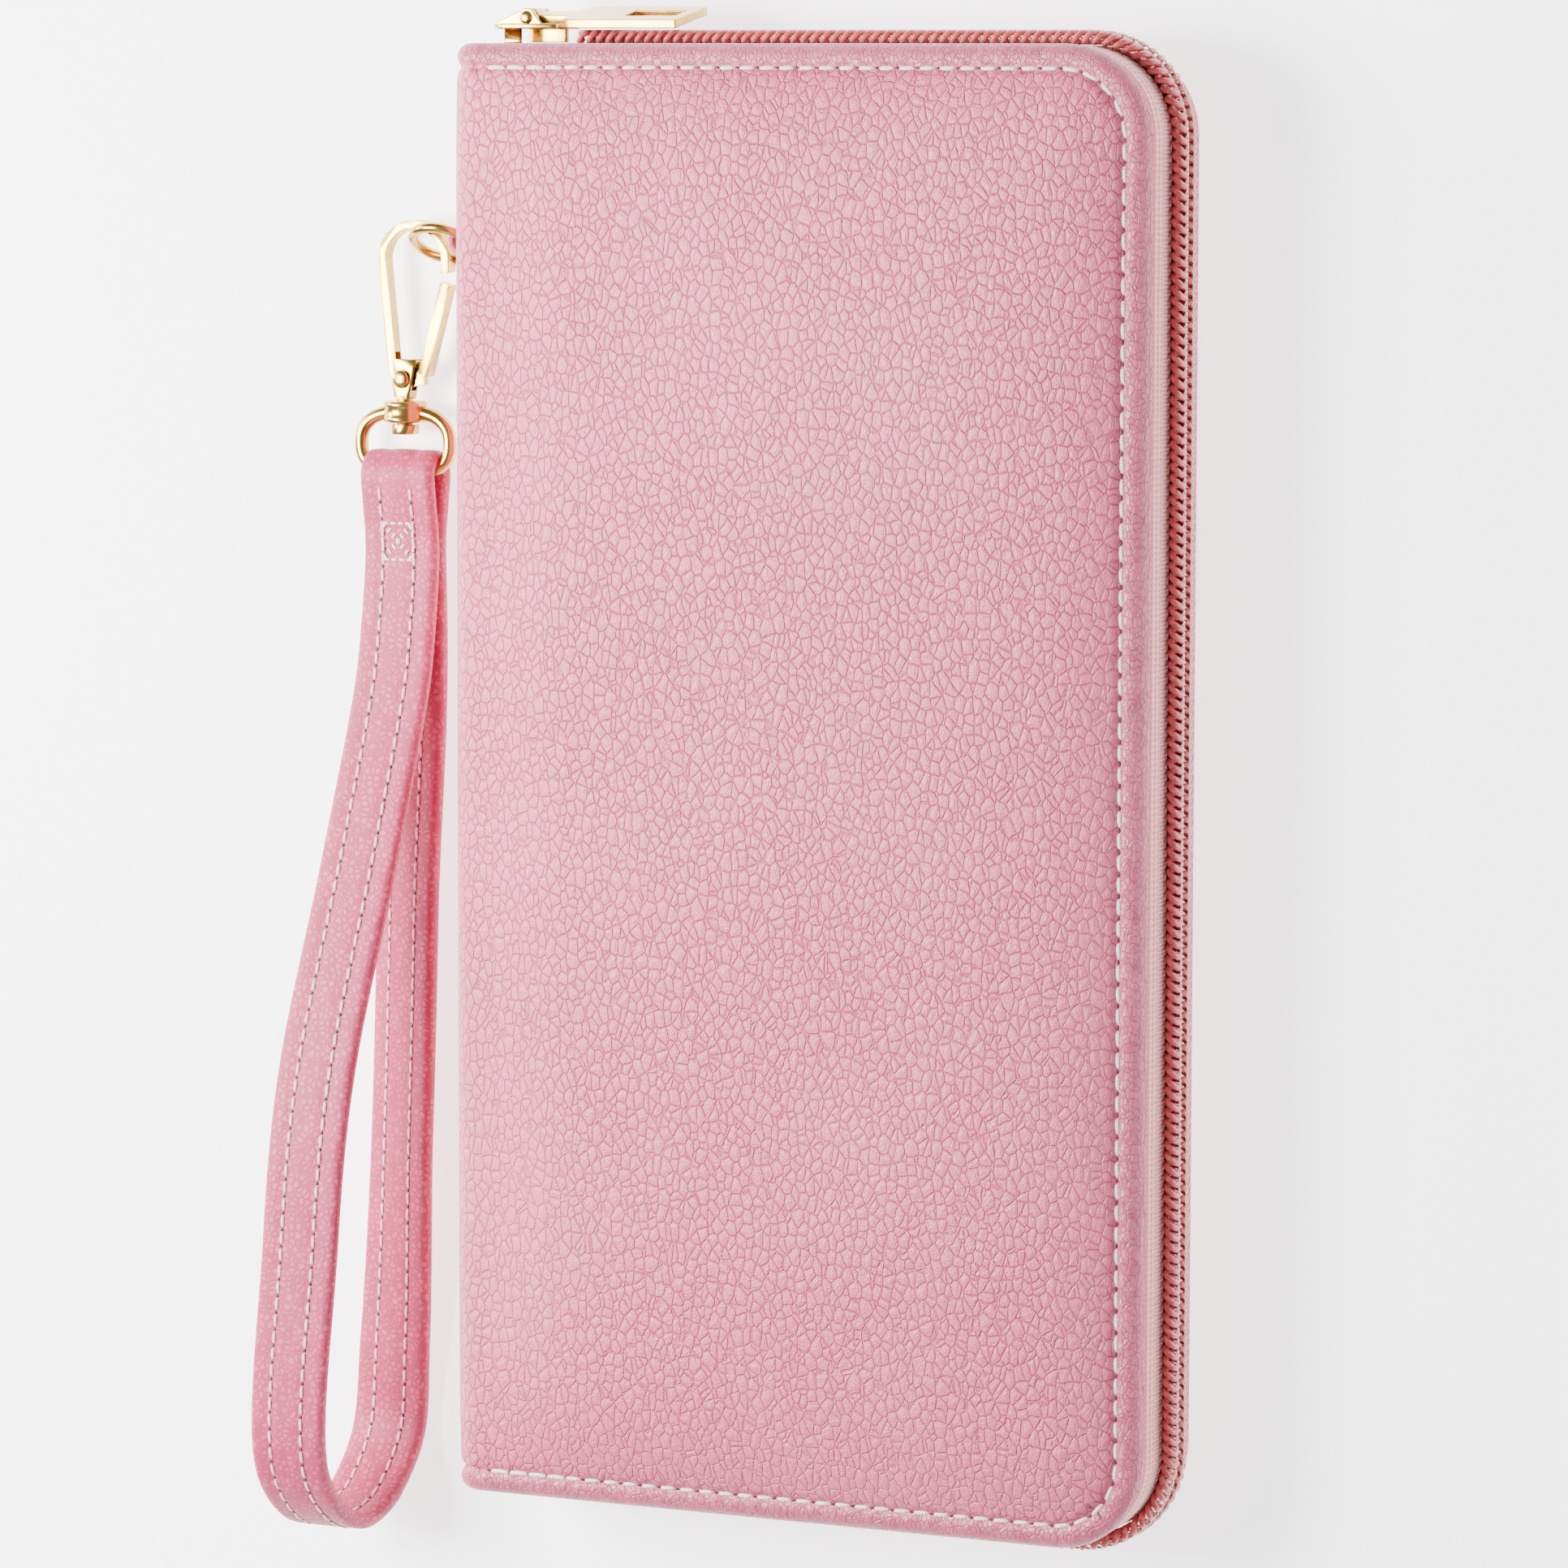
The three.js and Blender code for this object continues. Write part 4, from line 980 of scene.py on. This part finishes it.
# %% the strap's middle line and its twist
def rounded_line(points, step=0.5):
    """A centripetal Catmull-Rom curve through points: each span blends lines between its four
    neighbours, weighted by the square roots of their distances."""
    points = np.asarray(points, float)
    points = np.concatenate([[2 * points[0] - points[1]], points, [2 * points[-1] - points[-2]]])
    parts = []
    for p0, p1, p2, p3 in zip(points, points[1:], points[2:], points[3:]):
        knots = np.cumsum([0, *(np.linalg.norm(q - p) ** 0.5
                                for p, q in ((p0, p1), (p1, p2), (p2, p3)))])
        t0, t1, t2, t3 = knots
        t = np.linspace(t1, t2, 24, endpoint=False)[:, None]
        a1 = (t1 - t) / (t1 - t0) * p0 + (t - t0) / (t1 - t0) * p1
        a2 = (t2 - t) / (t2 - t1) * p1 + (t - t1) / (t2 - t1) * p2
        a3 = (t3 - t) / (t3 - t2) * p2 + (t - t2) / (t3 - t2) * p3
        b1 = (t2 - t) / (t2 - t0) * a1 + (t - t0) / (t2 - t0) * a2
        b2 = (t3 - t) / (t3 - t1) * a2 + (t - t1) / (t3 - t1) * a3
        parts.append((t2 - t) / (t2 - t1) * b1 + (t - t1) / (t2 - t1) * b2)
    return resample(np.concatenate([*parts, points[-2:-1]]), step)


STRAP_WIDE, STRAP_THICK = 11.0, 2.16
FAR = cad("wrist_strap")[0][1]  # the far bend
LONG, RISE = BAR_Y - FAR, 24.5  # its distance from the bar, and its height
TURN = RISE / 2
EYE = 2.4  # radius of the strap's line round the bar
ON_FLOOR = 1.15  # height of the lower strand's line
line = np.array([
    [BAR_Y - 12, BAR_Z + 1.1], [BAR_Y - LONG * 0.19, BAR_Z + 3.6],
    [BAR_Y - LONG * 0.36, RISE * 0.58], [BAR_Y - LONG * 0.56, RISE * 0.92],
    [BAR_Y - LONG * 0.72, RISE], [FAR + TURN * 0.72, RISE * 0.93], [FAR + 1.1, RISE * 0.52],
    [FAR + TURN * 0.8, 2.05], [FAR + RISE, ON_FLOOR], [BAR_Y - LONG * 0.5, ON_FLOOR],
    [BAR_Y - LONG * 0.25, ON_FLOOR], [BAR_Y - 12, 2.5]])
eye = arc(BAR_Y, BAR_Z, EYE, -90, 90, 14)
side_view, _ = rounded_line(np.concatenate([
    eye[7:], [[BAR_Y - 4.5, BAR_Z + 1.75], [BAR_Y - 8, BAR_Z + 1.15]], line,
    [[BAR_Y - 8, BAR_Z - 1.15], [BAR_Y - 4.5, BAR_Z - 1.75]], eye[:7]]), 0.75)
along = np.maximum((BAR_Y - side_view[:, 0]) / LONG, 0)
sway = 5.6 * along**3 + 0.2 * np.maximum(side_view[:, 1] - BAR_Z - 3.45, 0)
way = directions(side_view, closed=True)
lower = (way[:, 0] > 0).astype(float)
twist = np.radians(17) * lower * smooth(along, 0.1, 0.42) * (1 - smooth(along, 0.62, 0.94))
twist += np.radians(5) * np.sin(np.pi * np.clip(along, 0, 1)) * (1 - lower)
lift = 5.5 * np.abs(np.sin(twist)) * lower
strap_path = np.stack([HOOK_X - sway, side_view[:, 0], side_view[:, 1] + lift], -1)
tangent = directions(strap_path, closed=True)
flat_way = np.array([1.0, 0, 0]) - tangent * tangent[:, :1]
flat_way /= np.linalg.norm(flat_way, axis=1, keepdims=True)
face_way = np.cross(flat_way, tangent)
wide = flat_way * np.cos(twist)[:, None] + face_way * np.sin(twist)[:, None]
thick = np.cross(wide, tangent)
thick *= np.sign(((strap_path - [HOOK_X, BAR_Y - LONG / 2, RISE / 2]) * thick).sum(1).mean())
section = rounded_box(STRAP_WIDE, STRAP_THICK, 0.95, 4)
dense = []
for p, q in zip(section, np.roll(section, -1, 0)):
    count = max(int(np.linalg.norm(q - p) / 0.7), 1)
    dense.append(p + (q - p) * np.linspace(0, 1, count, endpoint=False)[:, None])
section = np.concatenate(dense)
rows_at = 2.35  # from the middle of the strap to each row of stitches
flat_top = np.abs(section[:, 1]) > 1.0
dent = 0.18 * np.exp(-(((np.abs(section[:, 0]) - rows_at) / 0.5) ** 2)) * flat_top
inner_seam = 0.22 * np.exp(-((section[:, 0] / 0.22) ** 2)) * (section[:, 1] < -1.0)
puffed = 0.1 * np.cos(section[:, 0] / STRAP_WIDE * np.pi) * np.sign(section[:, 1]) * flat_top
section[:, 1] += puffed - dent * np.sign(section[:, 1]) + inner_seam
grid, quads = sweep(strap_path, wide, thick, section, closed=True)
grid[..., 2] = np.maximum(grid[..., 2], 0.03)
fit(make("folded_strap", grid, quads, STRAP_LEATHER), "strap", "leather", "wrist_strap")

# %% strap stitches and the bartack
path_length = np.concatenate([[0], np.cumsum(np.linalg.norm(np.diff(strap_path, axis=0), axis=1))])


def on_strap(distance, offset, height):
    """Points at a distance along the strap's line, an offset across it and a height over it,
    with tangent and normal."""
    def at(values):
        return np.stack([np.interp(distance, path_length, values[:, k]) for k in range(3)], -1)
    normal = at(thick)
    normal /= np.linalg.norm(normal, axis=1, keepdims=True)
    ahead = at(tangent)
    ahead /= np.linalg.norm(ahead, axis=1, keepdims=True)
    return at(strap_path) + at(wide) * offset + normal * height, ahead, normal


total = path_length[-1]
STRAP_PITCH = 2.3
at = np.arange(5.5, total - 6.5, STRAP_PITCH)
for label, offset, face in (("near", rows_at, 1), ("far", -rows_at, 1),
                            ("near_inner", rows_at, -1), ("far_inner", -rows_at, -1)):
    away = at if face > 0 else at[(at > 15) & (at < total - 16)]
    spots, ahead, normal = on_strap(away, offset, 1.05 * face)
    stitches(f"strap_{label}_stitches", spots, ahead, normal * face, PINK_THREAD, "strap",
             length=1.95, width=0.5, height=0.32, sink=0.07, lean=0.06)
    # dark marks between the strap's stitches: painted shade of the stitch holes
    spots, ahead, normal = on_strap(away + STRAP_PITCH / 2, offset, face)
    stitches(f"strap_{label}_holes", spots, ahead, normal * face, HOLE_SHADE, "strap",
             length=0.5, width=0.42, height=0.16, sink=0.03)

box_from, box_to, box_half = 9.5, 14.8, 2.3
turn_points = [(box_from, -box_half), (box_to, -box_half), (box_to, box_half),
               (box_from, box_half), (box_from, -box_half), (box_to, box_half),
               (box_from, box_half), (box_to, -box_half)]
spots, ahead, normal = [], [], []
for (s0, w0), (s1, w1) in zip(turn_points, turn_points[1:]):
    count = max(int(np.hypot(s1 - s0, w1 - w0) / 0.95), 1)
    t = (np.arange(count) + 0.5) / count
    for u in t:
        point, tan, up = on_strap(np.array([s0 + (s1 - s0) * u]), w0 + (w1 - w0) * u, 1.16)
        cross = np.cross(up, tan)
        spots.append(point[0])
        normal.append(up[0])
        ahead.append(((s1 - s0) * tan[0] - (w1 - w0) * cross[0]) / np.hypot(s1 - s0, w1 - w0))
stitches("strap_bartack", np.array(spots), np.array(ahead), np.array(normal), WHITE_THREAD,
         "strap", length=1.05, width=0.42, height=0.3, sink=0.04)
print("strap", round(total), "mm of leather")

# %% [markdown]
# ## Inside
# A cloth lining covers both halves and the spine. Each half has a bill panel and three
# stepped card slots with hemmed mouths. A zipped coin pocket is a page between the halves.


# %% lining
LINING_IN = 2.6  # from the cover's edge to the lining's
lining_columns = np.unique(np.concatenate([
    np.linspace(-SHEET + LINING_IN, SHEET - LINING_IN, 120), -spine_lines, spine_lines,
    [-SHEET + LINING_IN + 0.4, SHEET - LINING_IN - 0.4]]).round(4))
lining_rows = np.concatenate([[-END + LINING_IN, -END + LINING_IN + 0.4],
                              np.linspace(-END + 3, END - 3, 100),
                              [END - LINING_IN - 0.4, END - LINING_IN]])
a, b = np.meshgrid(lining_columns, lining_rows, indexing="ij")
s, y = sheet_point(a, b)
d = np.minimum(SHEET - np.abs(a), END - np.abs(b)) - LINING_IN
at_spine = 1 - smooth(np.abs(s), SPINE_FLAT, SPINE_FLAT + BEND)
ripple = 0.05 * np.sin(s / 5.3 + y / 7.7) + 0.04 * np.sin(y / 4.1 - s / 9)
level = 3.52 * (1 - at_spine) + 2.45 * at_spine + ripple * (1 - at_spine)
lens = 0.24 * np.sqrt(np.clip(d / 0.4, 0, 1))
both = np.concatenate([fold(s, y, level - 0.24 + lens).reshape(-1, 3),
                       fold(s, y, level - 0.24 - lens).reshape(-1, 3)])
quads = grid_quads(*a.shape)
lining = make("lining_cloth", both, np.concatenate([quads, quads[:, ::-1] + a.size]), LINING)
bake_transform(lining)
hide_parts("back_lining", "front_lining")
for half in ("back", "front"):
    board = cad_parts[half + "_board"]
    board.data.materials.clear()
    board.data.materials.append(BOARD)


# %% bill panels and card slots
def panel(node, name, material, body, hem, slot):
    """A thin sewn sheet in a CAD node's place: soft edges, a thicker hem at its mouth, and a
    few slow ripples."""
    low, high = cad(node)
    xs = np.unique(np.concatenate([low[0] + np.array([0, 0.15, 0.5, 1.2]),
                                   np.linspace(low[0] + 2, high[0] - hem - 1, 26),
                                   high[0] - np.array([hem + 0.3, hem, hem - 0.3, 1.2, 0.4, 0.12,
                                                       0])]).round(4))
    ys = np.unique(np.concatenate([low[1] + np.array([0, 0.15, 0.5]), np.linspace(
        low[1] + 1.5, high[1] - 1.5, 60), high[1] - np.array([0.5, 0.15, 0])]).round(4))
    x, y = np.meshgrid(xs, ys, indexing="ij")
    edge = np.minimum(np.minimum(x - low[0], high[0] - x), np.minimum(y - low[1], high[1] - y))
    half_thick = 0.19 + 0.05 * smooth(x, high[0] - hem - 0.3, high[0] - hem + 0.3)
    half_thick = half_thick * np.sqrt(np.clip(edge / 0.4, 0, 1))
    middle = (low[2] + high[2]) / 2 + 0.03 * np.sin(y / 11 + x / 17) * np.clip(edge / 8, 0, 1)
    top = np.stack([x, y, middle + half_thick], -1).reshape(-1, 3)
    bottom = np.stack([x, y, middle - half_thick], -1).reshape(-1, 3)
    quads = grid_quads(*x.shape)
    piece = make(name, np.concatenate([top, bottom]),
                 np.concatenate([quads, quads[:, ::-1] + x.size]), material)
    fit(piece, body, slot, node)
    inward = 1.0 if body == "back_half" else -1.0
    mouth = np.arange(low[1] + 2.5, high[1] - 2, 2.4)
    spots = np.stack([np.full_like(mouth, high[0] - hem + 0.7), mouth,
                      np.full_like(mouth, (low[2] + high[2]) / 2 + inward * 0.23)], -1)
    count = len(spots)
    stitches(name + "_hem_stitches", spots, np.tile([0, 1.0, 0], (count, 1)),
             np.tile(inward * UP, (count, 1)), PINK_THREAD, body, length=1.9, width=0.3,
             height=0.16, sink=0.05)


for half in ("back", "front"):
    body = half + "_half"
    panel(half + "_bill_panel", half + "_bill_panel_cloth", LINING, body, 3.2, "lining")
    for number in (1, 2, 3):
        node = f"{half}_card_slot_{number}"
        panel(node, node + "_leather", PINK_INSIDE, body, 4.0, "leather")

# %% coin pocket page
pocket_low, pocket_high = cad("coin_pocket")
half_thick = (pocket_high - pocket_low)[2] / 2
xs = pocket_high[0] - np.concatenate([[0, 0.15, 0.5], np.linspace(
    1.5, pocket_high[0] - pocket_low[0] - 2.6, 40)])
round_end = pocket_low[0] + half_thick * (1 - np.sin(np.linspace(0, np.pi / 2, 8)[1:]))
path_x = np.concatenate([xs, round_end, round_end[::-1][1:], xs[::-1]])
lift_part = np.concatenate([np.ones(len(xs)), np.cos(np.linspace(0, np.pi / 2, 8)[1:])])
path_lift = np.concatenate([lift_part, -lift_part[::-1][1:]])
ys = np.concatenate([pocket_low[1] + 5 * (1 - np.cos(np.linspace(0, np.pi / 2, 9)[:-1])),
                     np.linspace(pocket_low[1] + 5, pocket_high[1] - 5, 70),
                     pocket_high[1] - 5 * (1 - np.cos(np.linspace(np.pi / 2, 0, 9)[1:]))])
u, y = np.meshgrid(np.arange(len(path_x)), ys, indexing="ij")
near_end = np.minimum(y - pocket_low[1], pocket_high[1] - y) / 5
pinch = np.sqrt(np.clip(1 - (1 - np.clip(near_end, 0, 1)) ** 2, 0, 1))
slack = 1 - 0.1 * np.sin(np.pi * (y / pocket_high[1] + 1) / 2) + 0.03 * np.sin(y / 9)
tall = half_thick * (0.12 + 0.88 * pinch) * np.minimum(slack, 1)
outer_skin = np.stack([path_x[u], y, MIDDLE + path_lift[u] * tall], -1)
wall = 0.42
inner_tall = np.maximum(tall - wall, 0.05)
inner_x = np.maximum(path_x[u], pocket_low[0] + wall + (half_thick - inner_tall) * 0.2)
inner_skin = np.stack([inner_x, y * (1 - wall / pocket_high[1]),
                       MIDDLE + path_lift[u] * inner_tall], -1)
rim_rows = np.isin(u, (0, len(path_x) - 1))
inner_skin[rim_rows] = outer_skin[rim_rows]
quads = grid_quads(*u.shape)
end_caps = []
for column in (0, u.shape[1] - 1):
    outer_ids = np.arange(u.shape[0]) * u.shape[1] + column
    inner_ids = outer_ids + u.size
    end_caps.append(np.stack([outer_ids[:-1], outer_ids[1:], inner_ids[1:], inner_ids[:-1]], -1))
pocket = make("coin_pocket_cloth", np.concatenate([outer_skin.reshape(-1, 3),
                                                   inner_skin.reshape(-1, 3)]),
              np.concatenate([quads, quads[:, ::-1] + u.size, *end_caps]), LINING)
fit(pocket, "coin_page", "lining", "coin_pocket")
for side, half in ((1, "front"), (-1, "back")):
    low, high = cad(f"coin_zip_{half}_tape")
    size, middle = high - low, (low + high) / 2
    section = rounded_box(size[0], size[2], 0.2)
    path = np.stack([np.full(160, middle[0]), np.linspace(low[1], high[1], 160),
                     np.full(160, middle[2])], -1)
    grid, quads = sweep(path, np.tile([1.0, 0, 0], (160, 1)), np.tile(UP, (160, 1)), section)
    length = np.concatenate([path[:1, 1], path[:, 1], path[-1:, 1]])
    tape = make(f"coin_{half}_tape_weave", grid, quads, TAPE,
                along=np.broadcast_to(length[:, None], grid.shape[:2]),
                across=np.broadcast_to(3.2 + section[:, 1], grid.shape[:2]))
    fit(tape, "coin_page", "zip_tape", f"coin_zip_{half}_tape")
    low, high = cad(f"coin_zip_{half}_coil")
    path = np.stack([np.full(300, low[0] - 0.06), np.linspace(high[1], low[1], 300),
                     np.full(300, MIDDLE)], -1)
    middle = (low + high)[2] / 2 - MIDDLE
    coil(f"coin_{half}_coil", path, np.tile([1.0, 0, 0], (300, 1)), middle, side, "coin_page",
         f"coin_zip_{half}_coil", pitch=0.95, proud=0.3, wide=0.4, wire=0.25, slant=0.4,
         centre=0.52)
slider("coin_slider", -np.pi / 2, 0.62, "coin_slider", "coin_pull")
print("inside made")

# %% [markdown]
# ## Floor, light and camera
# A plain pale floor under soft studio light, and a long lens that looks down on the front.

# %% studio
floor_shader = Shader("studio floor", Roughness=0.75, Emission_Strength=2.6)
floor_tone = floor_shader.noise(floor_shader.coordinates(), 120.0, detail=2.0)
floor_color = floor_shader.mix(floor_tone, (0.91, 0.905, 0.90), (0.93, 0.925, 0.92))
floor_shader.feed(Base_Color=floor_color, Emission_Color=floor_color)
bpy.ops.mesh.primitive_plane_add(size=6)
floor = bpy.context.object
floor.name = "studio_floor"
floor.data.materials.append(floor_shader.material)
floor.location.z = -0.0004


def area_light(name, energy, size, place, aim, color=(1, 1, 1)):
    """A square area light aimed at a point; sizes and places in metres."""
    light = bpy.data.lights.new(name, "AREA")
    light.energy, light.size, light.color = energy, size, color
    lamp = bpy.data.objects.new(name, light)
    bpy.context.collection.objects.link(lamp)
    lamp.location = place
    lamp.rotation_euler = (Vector(aim) - Vector(place)).to_track_quat("-Z", "Y").to_euler()


area_light("key", 7.6, 0.22, (-0.26, 0.05, 0.38), (-0.01, 0.01, 0.01))
area_light("side", 8.0, 0.3, (-0.75, 0.2, 0.3), (0, 0, 0.01), (1.0, 0.99, 0.98))
area_light("low", 2.0, 0.4, (0.6, 0.0, 0.16), (0.04, 0, 0.01))
area_light("rear", 1.5, 0.6, (-0.1, -0.8, 0.5), (0, 0, 0.01))
world = bpy.data.worlds.new("studio")
world.use_nodes = True
world.node_tree.nodes["Background"].inputs["Color"].default_value = (0.95, 0.96, 1.0, 1)
world.node_tree.nodes["Background"].inputs["Strength"].default_value = 0.3
bpy.context.scene.world = world

azimuth, elevation, roll = 0.4338, 0.1044, 0.0019
back = Vector((np.sin(azimuth) * np.cos(elevation), np.sin(elevation),
               np.cos(azimuth) * np.cos(elevation)))
right = Vector((0, 1, 0)).cross(back).normalized()
up = back.cross(right)
right, up = (right * np.cos(roll) + up * np.sin(roll), up * np.cos(roll) - right * np.sin(roll))
camera_data = bpy.data.cameras.new("camera")
camera_data.lens, camera_data.sensor_width = 158.2, 36
camera_data.clip_start, camera_data.clip_end = 0.05, 10
camera = bpy.data.objects.new("camera", camera_data)
bpy.context.collection.objects.link(camera)
camera.matrix_world = Matrix.Translation(Vector((-5.62, -0.28, 11)) * MM + back * 0.915) @ (
    Matrix((right, up, back)).transposed().to_4x4())
bpy.context.scene.camera = camera
